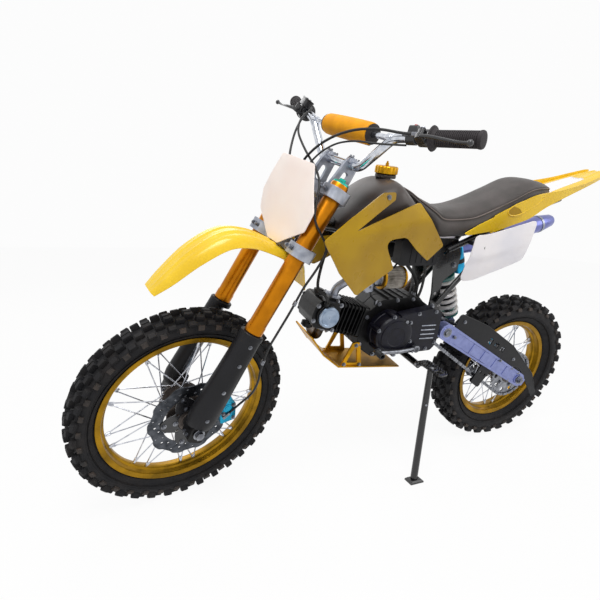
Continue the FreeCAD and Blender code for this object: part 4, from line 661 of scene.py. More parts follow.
def buildRim(end, wheel, body, size):
    rim, seat = size["rim"], size["rimHalf"]
    upper = [(rim - 14, seat - 0.5), (rim - 6, seat + 0.4), (rim - 1, seat + 0.6), (rim, seat - 0.6),
             (rim - 1, seat - 2.6), (rim - 10, seat - 3.6), (rim - 13, 9), (rim - 19, 5)]
    lower = [(rim - 24, 5.5), (rim - 23, 7.5), (rim - 18, 10.5), (rim - 16, seat - 6), (rim - 15, seat - 2)]
    profile = upper + [(r, -y) for r, y in reversed(upper)] + [(r, -y) for r, y in reversed(lower)] + lower
    built(end + "Rim", lathe(profile, 160), "gold_rim", wheel, body, nodes=[end + "_rim"], sharp=28)


spokes = {"count": 36, "radius": 1.7, "flange": 51, "flangeY": 31, "lead": radians(50), "inRim": 22}


def buildSpokes(end, wheel, body, size):
    stopRadius = size["rim"] - spokes["inRim"]
    places, nipples, heads = [], [], []
    for i in range(spokes["count"]):
        side = 1 if i % 2 else -1
        lead = spokes["lead"] if i % 4 < 2 else -spokes["lead"]
        start = Vector((spokes["flange"], side * spokes["flangeY"], 0))
        stop = Matrix.Rotation(lead, 3, "Y") @ Vector((stopRadius, side * 3, 0))
        length = (stop - start).length
        aim = (stop - start).to_track_quat("Z", "Y").to_matrix().to_4x4()
        here = turnedAbout(wheel, 2 * pi * i / spokes["count"])
        places.append(here @ Matrix.Translation(start) @ aim)
        nipples.append(here @ Matrix.Translation(stop - (stop - start).normalized() * 17) @ aim)
        heads.append(here @ Matrix.Translation(start) @ Matrix.Rotation(-side * pi / 2, 4, "X"))
    wire = rod((0, 0, 0), (0, 0, length), spokes["radius"], sides=8)
    repeated(end + "Spokes", wire, places, body, "steel", material=brightSpoke)
    nipple = tube([(0, 0, 0), (0, 0, 2), (0, 0, 12), (0, 0, 17)], [2.6, 3.4, 3.4, 4.4], 8)
    repeated(end + "Nipples", nipple, nipples, body, "steel", material=brightSpoke)
    head = tube([(0, 0, -1), (0, 0, 2.6), (0, 0, 3.4)], [3.6, 3.6, 2], 10)
    repeated(end + "SpokeHeads", head, heads, body, "steel", material=brightSpoke)


def buildHub(end, wheel, body, leftEnd, rightEnd):
    flange = [(34, 36), (52, 35), (56, 33.5), (56, 29.5), (50, 28), (38, 25), (31, 19), (29, 8)]
    profile = [(8.2, leftEnd), (24, leftEnd), (25, leftEnd - 2), (33, leftEnd - 2)] + flange
    profile += [(r, -y) for r, y in reversed(flange)]
    profile += [(33, 2 - rightEnd), (25, 2 - rightEnd), (24, -rightEnd), (8.2, -rightEnd)]
    ribs = [lathe([(28, y - 1.5), (31.5, y - 1), (31.5, y + 1), (28, y + 1.5)], 72) for y in (-8, 0, 8)]
    seal = lathe([(9, leftEnd - 1), (20, leftEnd - 1), (21, leftEnd + 0.6), (12, leftEnd + 1), (9, leftEnd)], 48)
    built(end + "Hub", joined(lathe(profile, 96), *ribs), "hub_grey", wheel, body, nodes=[end + "_hub"], sharp=30)
    built(end + "HubSeal", seal, "hub_grey", wheel, body, material=sealRubber)


def wavyOutline(outer, depth, waves, sides=180):
    outline = []
    for i in range(sides):
        angle = 2 * pi * i / sides
        wave = 0.5 + 0.5 * tanh(2.2 * cos(waves * angle)) / tanh(2.2)
        outline.append(polar(outer - depth * (1 - wave), angle))
    return outline


def buildDisc(name, wheel, body, outer, place, way, waves, node):
    low, high = sorted((place * way, (place + 3.5) * way))
    holes = [circle(0, 0, outer - 37, 72)]
    for i in range(waves):
        middle = 2 * pi * i / waves
        for radius, turn, size in ((outer - 27, -0.2, 3.2), (outer - 18.5, -0.02, 3.6), (outer - 12, 0.2, 2.8),
                                   (outer - 29, 0.12, 2.6)):
            holes.append(circle(radius * cos(middle + turn), radius * sin(middle + turn), size, 10))
    built(name, plate(wavyOutline(outer, 6, waves), low, high, holes), "disc_steel", wheel, body,
          nodes=[node], bevel=0.4)
    carrierOuter = outer - 31
    star = []
    for i in range(100):
        angle = 2 * pi * i / 100
        reach = 0.5 + 0.5 * cos(5 * angle)
        star.append(polar(50 + (carrierOuter - 50) * reach ** 0.7, angle))
    windows = [circle(0, 0, 34.2, 60)] + [circle(x, z, 4.5, 16) for x, _, z in ring(43, 0, 5, 0.5)]
    outerFace = (place + 3.6) * way
    built(name + "Carrier", plate(star, *sorted((outerFace, outerFace + 3 * way)), windows), "disc_steel", wheel, body,
          bevel=0.5, material=materials["lever_black"])
    rivets = []
    for i in range(5):
        angle = 2 * pi * i / 5
        for radius in (carrierOuter - 9, 40):
            rivets.append((radius * cos(angle), outerFace + 3 * way, radius * sin(angle)))
    built(name + "Bolts", hexBolts(rivets, (0, way, 0), 5, 4), "steel", wheel, body)


for end, wheel, size in (("front", frontWheel, frontSizes), ("rear", rearWheel, rearSizes)):
    buildTyre(end, wheel, end + "_wheel", size)
    buildRim(end, wheel, end + "_wheel", size)
    buildSpokes(end, wheel, end + "_wheel", size)
    buildHub(end, wheel, end + "_wheel", *size["hubEnds"])
    buildDisc(end + "Disc", wheel, end + "_wheel", *size["disc"], end + "_disc")


def toothedOutline(teeth, root, tip):
    outline = []
    for i in range(teeth):
        for share, radius in ((-0.36, root), (-0.25, root + 1), (-0.1, tip), (0.1, tip), (0.25, root + 1)):
            outline.append(polar(radius, 2 * pi * (i + share) / teeth))
    return outline


chain = {"pitch": 12.7, "y": 62, "driveTeeth": 15, "drivePlace": (450, 518)}
rearSprocket = {"teeth": 41, "root": 78.5, "tip": 86, "wall": 4, "holes": 10}


def buildRearSprocket():
    low = chain["y"] - rearSprocket["wall"] / 2
    holes = [circle(0, 0, 34.2, 60)] + [circle(x, z, 8.5, 24) for x, _, z in ring(64, 0, rearSprocket["holes"])]
    outline = toothedOutline(rearSprocket["teeth"], rearSprocket["root"], rearSprocket["tip"])
    built("rearSprocketPlate", plate(outline, low, low + rearSprocket["wall"], holes), "steel", rearWheel,
          "rear_wheel", nodes=["rear_sprocket"], bevel=0.4)
    built("rearSprocketBolts", hexBolts(ring(47, low + 4, 5, 0.5), (0, 1, 0), 5.5, 5), "steel", rearWheel, "rear_wheel")


buildRearSprocket()
print("wheels ready")


# Fork, steered: local x ahead of the steering axis, y to the left, z up along it

legX, legY = forkOffset, 95
forkSizes = {"upper": 22, "bottom": 292, "top": 702}
legTurn = Matrix.Translation((legX, legY, 0)) @ Matrix.Rotation(pi / 2, 4, "X")


def buildForkLegs():
    low, high, radius = forkSizes["bottom"], forkSizes["top"], forkSizes["upper"]
    profile = [(17.6, low), (radius - 1, low), (radius + 1.4, low + 2), (radius + 1.4, low + 22),
               (radius, low + 26), (radius, high - 4), (radius - 1.5, high), (0.5, high)]
    seal = [(17.4, low - 9), (20, low - 9), (22, low - 6), (22, low), (17.4, low)]
    slider = [(0.5, -20), (17, -20), (17, low), (0.5, low)]
    cap = [(0.5, high), (20, high), (20, high + 3), (16.5, high + 6), (0.5, high + 6)]
    for name, rows, slotName, more in (("forkTubes", profile, "gold_tube", {"nodes": ["fork_tubes"]}),
                                       ("forkSeals", seal, "gold_tube", {"material": sealRubber}),
                                       ("forkSliders", slider, "steel", {}),
                                       ("forkCaps", cap, "caliper_blue", {"material": tealAnodised})):
        steered(name, bothSides(moved(lathe(rows, 48, closed=False), legTurn)), slotName, **more)
    tops = rod((legX, legY, high + 5), (legX, legY, high + 13), 9, sides=6)
    steered("forkCapNuts", bothSides(tops), "caliper_blue", material=tealAnodised, bevel=0.6)
    foot = joined(plate(rounded([(legX - 21, -27, 8), (legX + 21, -27, 12), (legX + 24, 12, 8), (legX + 19, 56, 8),
                                 (legX - 19, 56, 8), (legX - 24, 12, 8)]), legY - 21, legY + 21,
                        [circle(legX, 0, 7.8, 32)]), rod((legX, legY - 23, 0), (legX, legY - 20, 0), 16, sides=32))
    pinch = hexBolts([(legX + 22, legY + 8, -14), (legX + 22, legY - 8, -14)], (1, 0, 0), 3.6, 5)
    steered("forkFeet", bothSides(foot), "cast_black", nodes=["fork_sliders"], bevel=2.5)
    steered("forkPinchBolts", bothSides(pinch), "steel")


def buildGuards():
    low, high = 13, forkSizes["bottom"] - 0.3
    rows = []
    # from the inner front edge round the front to the outer rear edge
    angles = [radians(a) for a in range(-62, 139, 10)]
    for share, reach in ((0.0, 25), (0.03, 29), (0.12, 32), (0.3, 31), (0.62, 29.5), (0.84, 29), (0.96, 28.5),
                         (1.0, 27.5)):
        height = low + (high - low) * share
        front = 1.18 - 0.22 * share
        row = []
        for angle in angles:
            flat = reach * (1 + 0.12 * abs(cos(angle)) ** 6)
            row.append(Vector((legX + flat * cos(angle) * front, legY + flat * sin(angle), height)))
        rows.append(row)
    guard = skin(rows)
    steered("forkGuards", bothSides(guard), "black_plastic", nodes=["fork_guards"], solid=3, bevel=0.8, sharp=50)
    collar = moved(lathe([(18, high - 14), (30.5, high - 14), (31, high - 12), (31, high - 2), (29, high),
                          (18, high)], 48), legTurn)
    steered("guardCollars", bothSides(collar), "black_plastic", bevel=0.6)
    screws = [(legX + 6, legY + 32.2, low + 34), (legX + 6, legY + 31, low + 118), (legX + 6, legY + 30.2, low + 196),
              (legX + 6, legY + 29.4, low + 250)]
    fronts = [(legX + 37, legY, low + 34), (legX + 35, legY, low + 90)]
    steered("guardScrews", bothSides(joined(hexBolts(screws, (0.1, 1, 0), 3.6, 3),
                                            hexBolts(fronts, (1, 0, 0), 3.4, 3))), "steel")


def clampOutline(reach):
    wall = forkSizes["upper"] + 9
    half = [(-reach, -reach, 14), (legX - wall, -legY - 16, 14), (legX - 20, -legY - wall, 14),
            (legX + 20, -legY - wall, 14), (legX + wall, -legY - 14, 12), (legX + wall - 2, -legY + 20, 14),
            (legX + 2, -legY + 46, 16)]
    return rounded(half + [(a, -b, r) for a, b, r in reversed(half)])


def buildClamps():
    bores = [circle(legX, way * legY, forkSizes["upper"] + 0.2, 40) for way in (1, -1)]
    lightening = [circle(legX - 26, way * 48, 9, 20) for way in (1, -1)]
    lower = plate(clampOutline(27), 505, 535, bores, "flat")
    stem = rod((0, 0, 506), (0, 0, 661), 14)
    steered("lowerClamp", joined(lower, stem), "silver_alloy", nodes=["lower_clamp"], bevel=2.5)
    upper = plate(clampOutline(26), 662, 690, bores + lightening, "flat")
    steered("upperClamp", upper, "silver_alloy", nodes=["upper_clamp"], bevel=2.5)
    nut = joined(rod((0, 0, 690), (0, 0, 693), 19, sides=32), rod((0, 0, 692), (0, 0, 704), 16, sides=6),
                 rod((0, 0, 703), (0, 0, 707), 9, sides=24))
    steered("stemNut", nut, "steel", bevel=0.8)
    pinches = [(legX + 33, way * (legY + side * 16), z) for way in (1, -1) for side in (0.0, -1.0) for z in (520, 676)]
    steered("clampBolts", hexBolts(pinches, (1, 0, 0), 4, 6), "steel")


def buildRisers():
    low, top, clampX, clampZ = 689, 778, 18, 762
    outline = rounded([(-12, low, 3), (52, low, 3), (46, low + 30, 20), (40, top - 14, 14), (34, top, 9),
                       (4, top, 9), (-4, top - 16, 14), (-6, low + 30, 20)])
    window = rounded([(10, low + 12, 9), (32, low + 12, 9), (29, clampZ - 22, 8), (11, clampZ - 22, 8)])
    riser = plate(outline, 41, 49, [window, circle(clampX, clampZ, 11.2, 32)])
    steered("barRisers", bothSides(riser), "silver_alloy", bevel=1.4)
    cap = plate(rounded([(clampX - 17, clampZ + 1, 1), (clampX + 17, clampZ + 1, 1), (clampX + 15, clampZ + 17, 9),
                         (clampX - 15, clampZ + 17, 9)]), 36, 54)
    steered("barClampCaps", bothSides(cap), "silver_alloy", bevel=1.5)
    bolts = [(clampX + side * 11, y, clampZ + 16) for side in (1, -1) for y in (40, 50)]
    steered("barClampBolts", bothSides(hexBolts(bolts, (0, 0, 1), 2.8, 5)), "steel")


def buildFrontAxle():
    bar = rod((legX, -124, 0), (legX, 124, 0), 7.5)
    nut = joined(rod((legX, 118.3, 0), (legX, 120.3, 0), 15), rod((legX, 120.3, 0), (legX, 129, 0), 11.5, sides=6))
    spacer = rod((legX, 61, 0), (legX, 71.6, 0), 12.5)
    steered("frontAxle", joined(bar, bothSides(nut), bothSides(spacer)), "steel", nodes=["front_axle"], bevel=0.7)


buildForkLegs()
buildGuards()
buildClamps()
buildRisers()
buildFrontAxle()


# Bodywork

def fenderRow(x, z, along, halfWidth, drop, rib, count=33):
    down = Vector((along.z, 0, -along.x)).normalized()
    row = []
    for i in range(count):
        share = 2 * i / (count - 1) - 1
        away = abs(share)
        depth = drop * (0.14 * away ** 2 + 0.86 * max(0, (away - 0.62) / 0.38) ** 1.8)
        ridge = exp(-((away - 0.27) / 0.075) ** 2) * rib
        depth -= ridge + 0.35 * rib * exp(-(away / 0.2) ** 4)
        row.append(Vector((x, share * halfWidth, z)) + down * depth)
    return row


def fenderShell(stations, steps=7):
    line = smoothLine(stations, steps)
    rows = []
    for i, (x, z, *size) in enumerate(line):
        along = line[min(i + 1, len(line) - 1)] - line[max(i - 1, 0)]
        rows.append(fenderRow(x, z, Vector((along[0], 0, along[1])).normalized(), *size))
    return skin(rows)


# x, z, half width, drop of the sides, height of the ribs
frontFender = ((-72, 438, 44, 8, 0), (-46, 468, 50, 11, 1.5), (-18, 495, 54, 14, 3), (30, 500.5, 58, 18, 4),
               (95, 501, 60, 20, 4.5), (160, 493, 60, 22, 4.5), (217, 465, 58, 24, 4), (262, 400, 54, 22, 3),
               (290, 325, 45, 15, 2), (304, 279, 32, 8, 0.5))
steered("frontFender", fenderShell(frontFender), "yellow_plastic", nodes=["front_fender"], solid=3, bevel=0.9, sharp=60)
fenderBolts = [(side * 34 + 38, way * 20, 502) for side in (1, -1) for way in (1, -1)]
steered("fenderBolts", hexBolts(fenderBolts, (0, 0, 1), 4, 3), "steel")


def buildNumberPlate():
    foot, tilt = Vector((76, 0, 509)), radians(17)
    place = shifted(fork, *foot) @ Matrix.Rotation(tilt, 4, "Y")
    outline = rounded([(-24, 0, 6), (24, 0, 6), (108, 56, 10), (120, 104, 12), (70, 206, 10), (-70, 206, 10),
                       (-120, 104, 12), (-108, 56, 10)])
    spots, faces = filled(outline, 9)
    points = []
    for y, z in spots:
        border = min((abs(y) / 118) ** 2 * 9, 9)
        upper = max(0.0, (z - 120) / 86) ** 2 * 5
        pocket = 2.2 * exp(-((max(abs(y) / 74, abs(z - 106) / 76)) ** 8))
        points.append((1.5 - border - upper - pocket, y, z))
    steered("numberPlate", (points, faces), "white_plastic", place, nodes=["number_plate"], solid=3,
            bevel=0.8, sharp=60)


buildNumberPlate()


# a section across the machine: a rounded rectangle, drawn in at its foot by waist
def roundBox(x, halfWidth, low, high, power=4.0, waist=0.0, count=40):
    middle, tall = (low + high) / 2, (high - low) / 2
    row = []
    for i in range(count):
        angle = 2 * pi * i / count
        c, s = cos(angle), sin(angle)
        reach = (abs(c) ** power + abs(s) ** power) ** (-1 / power)
        up = s * reach
        wide = halfWidth * (1 - waist * max(0.0, -up))
        row.append(Vector((x, c * reach * wide, middle + up * tall)))
    return row


# x, half width, bottom, top
tankRows = ((768, 44, 784, 804), (752, 62, 780, 828), (724, 82, 777, 862), (694, 96, 776, 892),
            (660, 104, 775, 913), (626, 106, 775, 921), (590, 99, 775, 896), (540, 80, 776, 856),
            (500, 62, 779, 818), (488, 54, 782, 800))
built("fuelTank", loft([roundBox(*row, 3.2, 0.05) for row in smoothLine(tankRows, 6)]), "tank_grey",
      nodes=["fuel_tank"], sharp=60)


def buildTankCap():
    sides, flutes, depth = 96, 12, 2.2
    rows = []
    for height, share in ((9, 0.7), (10, 0.9), (12, 1.0), (27, 1.0), (29, 0.97), (30.5, 0.9), (31, 0.8)):
        row = []
        for i in range(sides):
            radius = 31 - depth * (0.5 + 0.5 * cos(flutes * 2 * pi * i / sides)) ** 2
            row.append(Vector((*polar(radius * share, 2 * pi * i / sides), height)))
        rows.append(row)
    place = shifted(machine, 626, 0, 921)
    built("tankCap", loft(rows), "gold_metal", place, nodes=["tank_cap"], sharp=32)
    collar = lathe([(4, 0), (27, 0), (28, 2), (28, 8), (25, 10), (4, 10)], 64)
    built("tankNeck", collar, "tank_grey", turnedAbout(place, pi / 2, "X"), bevel=0.6)
    vent = joined(rod((0, 0, 30), (0, 0, 38), 5, 4.4), rod((0, 0, 37), (0, 0, 43), 3, 2.4))
    built("capVent", vent, "gold_metal", place)


buildTankCap()

# x, half width, bottom, top
seatRows = ((594, 36, 896, 910), (570, 50, 880, 900), (540, 58, 858, 884), (484, 66, 808, 864),
            (454, 70, 774, 856), (400, 74, 774, 858), (350, 78, 778, 869), (290, 79, 808, 890),
            (220, 78, 838, 921), (155, 75, 869, 950), (100, 66, 892, 949), (62, 52, 908, 941), (45, 40, 915, 932))


def buildSeat():
    line = smoothLine(seatRows, 5)
    rows = []
    for x, halfWidth, low, high in line:
        row = []
        for point in roundBox(x, halfWidth, low, high, 3.4, -0.04, 48):
            share = (point.z - low) / max(high - low, 1)
            away = abs(point.y) / max(halfWidth, 1)
            crown = -3.0 * away ** 2 if share > 0.8 else 0
            tuck = 3.5 * exp(-((share - 0.62) / 0.1) ** 2) if away > 0.8 else 0
            row.append(Vector((point.x, point.y - copysign(tuck, point.y), point.z + crown)))
        rows.append(row)
    seat = built("seatCover", loft(rows), "seat_vinyl", nodes=["seat"], sharp=70, subdivide=1)
    # the upper welt carries the painted crease highlight; the lower hem is dark thread
    for name, share, radius, weltMaterial in (("seatPiping", 0.66, 1.8, seatPiping), ("seatHem", 0.05, 1.8, seatThread)):
        edge = []
        for x, halfWidth, low, high in line[2:-2]:
            best = min((q for q in roundBox(x, halfWidth, low, high, 3.4, -0.04, 48) if q.y > 0),
                       key=lambda q: abs((q.z - low) / (high - low) - share))
            edge.append(Vector((best.x, best.y - 2.0, low + share * (high - low))))
        built(name, bothSides(tube(edge, radius, 8)), "seat_vinyl", material=weltMaterial)


buildSeat()


# a thin moulded panel: its outline is filled and pushed out to bulge(a, b)
def curvedPanel(name, outline, slotName, nodes, bulge, solid=3, grain=10, ways=(1, -1), material=None):
    spots, faces = filled(outline, grain)
    left = [(x, bulge(x, z), z) for x, z in spots], faces
    shapes = [left if way > 0 else mirroredY(left) for way in ways]
    built(name, joined(*shapes), slotName, nodes=nodes, solid=solid, bevel=0.7, sharp=50, material=material)


# x, z, corner radius, on the upright machine
shroudOutline = rounded([(875, 789, 10), (806, 838, 40), (707, 897, 8), (668, 899, 7), (670, 881, 5),
                         (790, 807, 2), (715, 833, 1), (587, 877, 12), (462, 760, 8), (492, 734, 5),
                         (511, 718, 4), (566, 752, 30), (616, 790, 40), (690, 784, 34), (634, 704, 8), (744, 638, 12),
                         (817, 709, 12)], 6)


def shroudBulge(x, z):          # the flat panel's plane, with a ridge along it that both halves fall away from
    plane = 122 + (x - 611) * 48 / 264
    above = z - (798 + 0.13 * (800 - x))
    ease = min(max((850 - x) / 120, 0), 1)
    fall = 0.22 * max(above, 0) + 0.13 * max(-above, 0)
    return plane + 9 - fall * ease


# the shrouds take the darkened yellow: painted shade on their side faces
curvedPanel("tankShrouds", shroudOutline, "yellow_plastic", ["tank_shrouds"], shroudBulge, solid=3.2,
            material=shadeDarkenedYellow)
strapBolt = (692, shroudBulge(692, 886) + 1.6, 886)
built("shroudStrapBolts", bothSides(hexBolts([strapBolt], (0, 1, 0), 5, 3)), "steel")
built("shroudStuds", bothSides(rod((640, 96, 846), (640, shroudBulge(640, 846), 846), 6)), "black_plastic")

sideOutline = rounded([(382, 796, 14), (178, 848, 12), (189, 727, 18), (389, 652, 20)], 6)


def sideBulge(x, z):
    border = max(abs(x - 280) / 112, abs(z - 750) / 92)
    swage = 2.2 * exp(-(((z - 742) + 0.3 * (x - 280)) / 9) ** 2)
    return 135.5 + 3.5 * (1 - min(border, 1) ** 4) - swage


def tuckedBulge(x, z):       # the left panel's foot and front turn in; on the right the silencer is there
    return sideBulge(x, z) - 0.22 * max(0, 752 + 0.18 * (280 - x) - z) - 0.4 * max(0, x - 350)


# the side panels take the greyed white: painted shade
curvedPanel("sidePanels", sideOutline, "white_plastic", ["side_panels"], tuckedBulge, solid=3.5, ways=(1,),
            material=paintedShadeWhite)
curvedPanel("rightSidePanel", sideOutline, "white_plastic", [], sideBulge, ways=(-1,), material=paintedShadeWhite)
sideScrews = [(350, 765), (236, 795)]
built("sidePanelStuds", bothSides(joined(*[rod((x, 74, z), (x, sideBulge(x, z), z), 6) for x, z in sideScrews])),
      "black_plastic")


def tailRow(x, halfWidth, crown, edge, flank, count=31):
    row = [Vector((x, -halfWidth - 1.5, flank)), Vector((x, -halfWidth - 0.5, (flank * 2 + edge) / 3))]
    for i in range(count):
        share = 2 * i / (count - 1) - 1
        away = abs(share)
        fall = (crown - edge) * max(0, (away - 0.6) / 0.4) ** 1.7
        ridge = 2.4 * exp(-((away - 0.3) / 0.08) ** 2)
        row.append(Vector((x, share * halfWidth, crown - fall - 3 * away ** 2 + ridge)))
    return row + [Vector((x, halfWidth + 0.5, (flank * 2 + edge) / 3)), Vector((x, halfWidth + 1.5, flank))]


# x, half width, crown, side edge, top of the flank
tailRows = ((290, 82.5, 806.4, 798, 846), (222, 84.5, 838, 822, 880), (155, 86.5, 868.4, 846, 910),
            (100, 84, 892, 878, 922), (45, 81, 914.4, 903, 932), (-20, 74, 937, 928, 946),
            (-80, 65, 955, 949, 960), (-145, 52, 976, 971, 980), (-190, 38, 991, 987, 995), (-200, 28, 994, 991, 997))
tailLine = smoothLine(tailRows, 6)
built("rearFender", skin([tailRow(*row) for row in tailLine]), "yellow_plastic", nodes=["rear_fender"], solid=3,
      bevel=0.9, sharp=60)
scoop = smoothLine([(246, 862), (236, 850), (204, 852), (168, 868), (132, 892), (118, 908), (150, 906), (196, 892),
                    (232, 876)], 5, closed=True)
scoopRim = tube([(x, 87, z) for x, z in scoop], 1.6, 8, closed=True)
built("fenderScoops", bothSides(scoopRim), "yellow_plastic")
# a darker yellow plate just inside the rim: painted shade standing in for the scoop's recess
scoopShadePlate = plate(scoop, 85, 87.2)
built("scoopFaces", bothSides(scoopShadePlate), "yellow_plastic", material=shadeDarkenedYellow)
patch = [tailRow(x, halfWidth, crown + 1.8, edge + 1.8, flank)[10:25]
         for x, halfWidth, crown, edge, flank in tailLine if -120 < x < 215]
built("tailPatch", skin(patch), "white_plastic", solid=0.8, material=paintedShadeWhite)
frontFlank = plate(rounded([(388, 792, 6), (336, 820, 30), (280, 846, 1), (280, 802, 1), (372, 787, 8)]), 81.4, 84.4)
built("fenderFlanks", bothSides(frontFlank), "yellow_plastic", bevel=0.8)
print("fork and bodywork ready")


# Handlebar and controls, steered

bar = {"radius": 11, "clampX": 18, "clampZ": 762, "startY": 78, "bend": Vector((46, 162, 842)),
       "end": Vector((14, 345, 890)), "crossShare": 0.95, "crossRadius": 7, "padRadius": 26, "padHalf": 88,
       "gripRadius": 17, "gripLength": 104}
barStart = Vector((bar["clampX"], bar["startY"], bar["clampZ"]))
crossEnd = barStart.lerp(bar["bend"], bar["crossShare"])
gripTurn = Vector((0, 1, 0)).rotation_difference(bar["end"] - bar["bend"]).to_matrix().to_4x4()
gripPlace = Matrix.Translation(bar["end"]) @ gripTurn


def buildHandlebar():
    half = [Vector((bar["clampX"], 0, bar["clampZ"])), barStart, bar["bend"], bar["end"]]
    corners = [Vector((p.x, -p.y, p.z)) for p in reversed(half[1:])] + half[1:]
    cross = rod((crossEnd.x, -crossEnd.y, crossEnd.z), crossEnd, bar["crossRadius"])
    lug = joined(rod(crossEnd - Vector((0, 16, 0)), crossEnd - Vector((0, 4, 0)), 10.5),
                 rod(crossEnd - Vector((4, 9, 5)), crossEnd + Vector((3, 4, 1)), 9))
    knurl = rod((bar["clampX"], -66, bar["clampZ"]), (bar["clampX"], 66, bar["clampZ"]), 11.25, sides=48)
    steered("handlebarTube", joined(bent(corners, bar["radius"], 18, 28, 10), cross, bothSides(lug), knurl),
            "chrome_bar", nodes=["handlebar"], sharp=40)


def buildPad():
    half, radius = bar["padHalf"], bar["padRadius"]
    sleeve = [(7.6, -half), (radius - 5, -half), (radius - 1, -half + 3), (radius, -half + 9),
              (radius + 0.6, -half / 2), (radius + 0.8, 0), (radius + 0.6, half / 2), (radius, half - 9),
              (radius - 1, half - 3), (radius - 5, half), (7.6, half)]
    place = shifted(fork, crossEnd.x, 0, crossEnd.z)
    pad = steered("barPad", lathe(sleeve, 40), "pad_gold", place, nodes=["bar_pad"], subdivide=1, sharp=80)
    ends = lathe([(7.4, half + 0.2), (radius - 4, half + 0.2), (radius - 2.6, half + 1.2), (radius - 4, half + 2),
                  (9, half + 2.6), (7.4, half + 2.6)], 48)
    steered("barPadEnds", bothSides(ends), "pad_gold", place, material=seatThread)
    seam = [(cos(a) * (radius + 0.4), sin(a) * (radius + 0.4)) for a in (-2.3, -2.2)]
    ridges = [rod((x, -half + 8, z), (x, half - 8, z), 0.9, sides=6) for x, z in seam]
    steered("barPadSeam", joined(*ridges), "pad_gold", place, material=seatThread)


def buildGrips():
    radius, length = bar["gripRadius"], bar["gripLength"]
    profile = [(11.3, -length), (25, -length), (26, -length + 1.5), (25, -length + 3.5), (20, -length + 5),
               (radius + 0.6, -length + 9)]
    ribs = 22
    step = (length - 16) / ribs
    for i in range(ribs):
        y = -length + 10 + step * i
        profile += [(radius, y), (radius, y + step * 0.55), (radius - 1.5, y + step * 0.62),
                    (radius - 1.5, y + step * 0.93)]
    profile += [(radius + 0.8, -5), (radius + 1.2, -1), (radius, 2), (4, 3), (0.2, 3)]
    shape = moved(lathe(profile, 56, closed=False), gripPlace)
    steered("gripSleeves", bothSides(shape), "grip_rubber", nodes=["grips"], sharp=40)


def leverBlade(inboard):
    line = smoothLine([(bar["radius"] + 4, inboard, -5), (30, inboard + 2, -11), (38, inboard + 12, -16),
                       (44, inboard + 40, -22), (43, inboard + 74, -27), (42, inboard + 96, -30),
                       (47, inboard + 118, -33)], 6)
    widths = [5.2 - 1.9 * min(i / (len(line) - 1) * 1.4, 1) for i in range(len(line))]
    blade = tube(line, widths, 14)
    ball = [(0, 0, -6.5), (0, 0, -5.4), (0, 0, -3.4), (0, 0, 0), (0, 0, 3.4), (0, 0, 5.4), (0, 0, 6.5)]
    end = moved(tube(ball, [0.6, 3.6, 5.4, 6.3, 5.4, 3.6, 0.6], 18), Matrix.Translation(line[-1]))
    return joined(blade, end)


def perchShape(width, inner):
    middle = inner + width / 2
    clamp = lathe([(11.3, inner), (17.6, inner), (18, inner + 1), (18, inner + width - 1),
                   (17.6, inner + width), (11.3, inner + width)], 40)
    arm = plate(rounded([(10, middle - 9, 3), (34, middle - 7, 6), (42, middle + 8, 6), (28, middle + 12, 6),
                         (10, middle + 9, 3)]), -19, -9, plane="flat")
    cap = plate(rounded([(10, middle - 8, 3), (30, middle - 7, 6), (38, middle + 8, 6), (10, middle + 9, 3)]),
                -9, 4, plane="flat")
    return joined(clamp, arm, cap), middle


def buildLevers():
    inner = -bar["gripLength"] - 26
    perch, middle = perchShape(22, inner)
    adjuster = joined(rod((14.5, inner - 14, 0), (14.5, inner + 3, 0), 5.4, sides=12),
                      rod((14.5, inner - 24, 0), (14.5, inner - 13, 0), 3.9, sides=16),
                      rod((14.5, inner - 36, 0), (14.5, inner - 22, 0), 4.4, 3.2))
    bolts = joined(hexBolt((30, middle + 4, 4), (0, 0, 1), 4, 4), hexBolt((-14, middle, 10), (-0.6, 0, 0.8), 3, 4))
    place = fork @ gripPlace
    steered("clutchPerch", joined(perch, leverBlade(middle)), "lever_black", place, nodes=["clutch_lever"], bevel=0.6)
    steered("clutchAdjuster", adjuster, "steel", place, bevel=0.3)
    steered("clutchPerchBolts", bolts, "steel", place)
    switch = joined(plate(rounded([(-12, 6, 5), (12, 6, 5), (14, 24, 6), (-14, 24, 6)]), inner - 30, inner - 8),
                    lathe([(11.3, inner - 30), (15, inner - 30), (15, inner - 8), (11.3, inner - 8)], 32))
    steered("killSwitch", switch, "lever_black", place, bevel=1.5)
    knob = rod((2, inner - 19, 23), (2, inner - 19, 28), 6, 5)
    steered("killSwitchButton", knob, "caliper_blue", place, bevel=0.6, material=redPlastic)

    inner = -bar["gripLength"] - 34
    perch, middle = perchShape(30, inner)
    housing = lathe([(11.3, inner + 6), (22, inner + 6), (24.5, inner + 8.5), (24.5, inner + 25), (22, inner + 28),
                     (11.3, inner + 28)], 48)
    tank = plate(rounded([(6, inner - 14, 7), (32, inner - 14, 7), (32, inner + 24, 7), (6, inner + 24, 7)]), 8, 25,
                 plane="flat")
    lid = plate(rounded([(5, inner - 15, 7), (33, inner - 15, 7), (33, inner + 25, 7), (5, inner + 25, 7)]), 25, 29,
                plane="flat")
    screws = hexBolts([(19, inner - 9, 29), (19, inner + 19, 29)], (0, 0, 1), 2.6, 1.6)
    mirror = fork @ Matrix.Scale(-1, 4, (0, 1, 0)) @ gripPlace
    steered("brakePerch", joined(perch, housing, leverBlade(middle), tank), "lever_black", mirror,
            nodes=["brake_lever"], bevel=0.7)
    steered("brakeFluidLid", lid, "lever_black", mirror, bevel=0.8)
    steered("brakeLidScrews", screws, "steel", mirror)


redPlastic = mouldedPlastic("redAcetal", "#b4261c", "#8f1a12", 0.3, 0.45, 3, 0.05)
buildHandlebar()
buildPad()
buildGrips()
buildLevers()


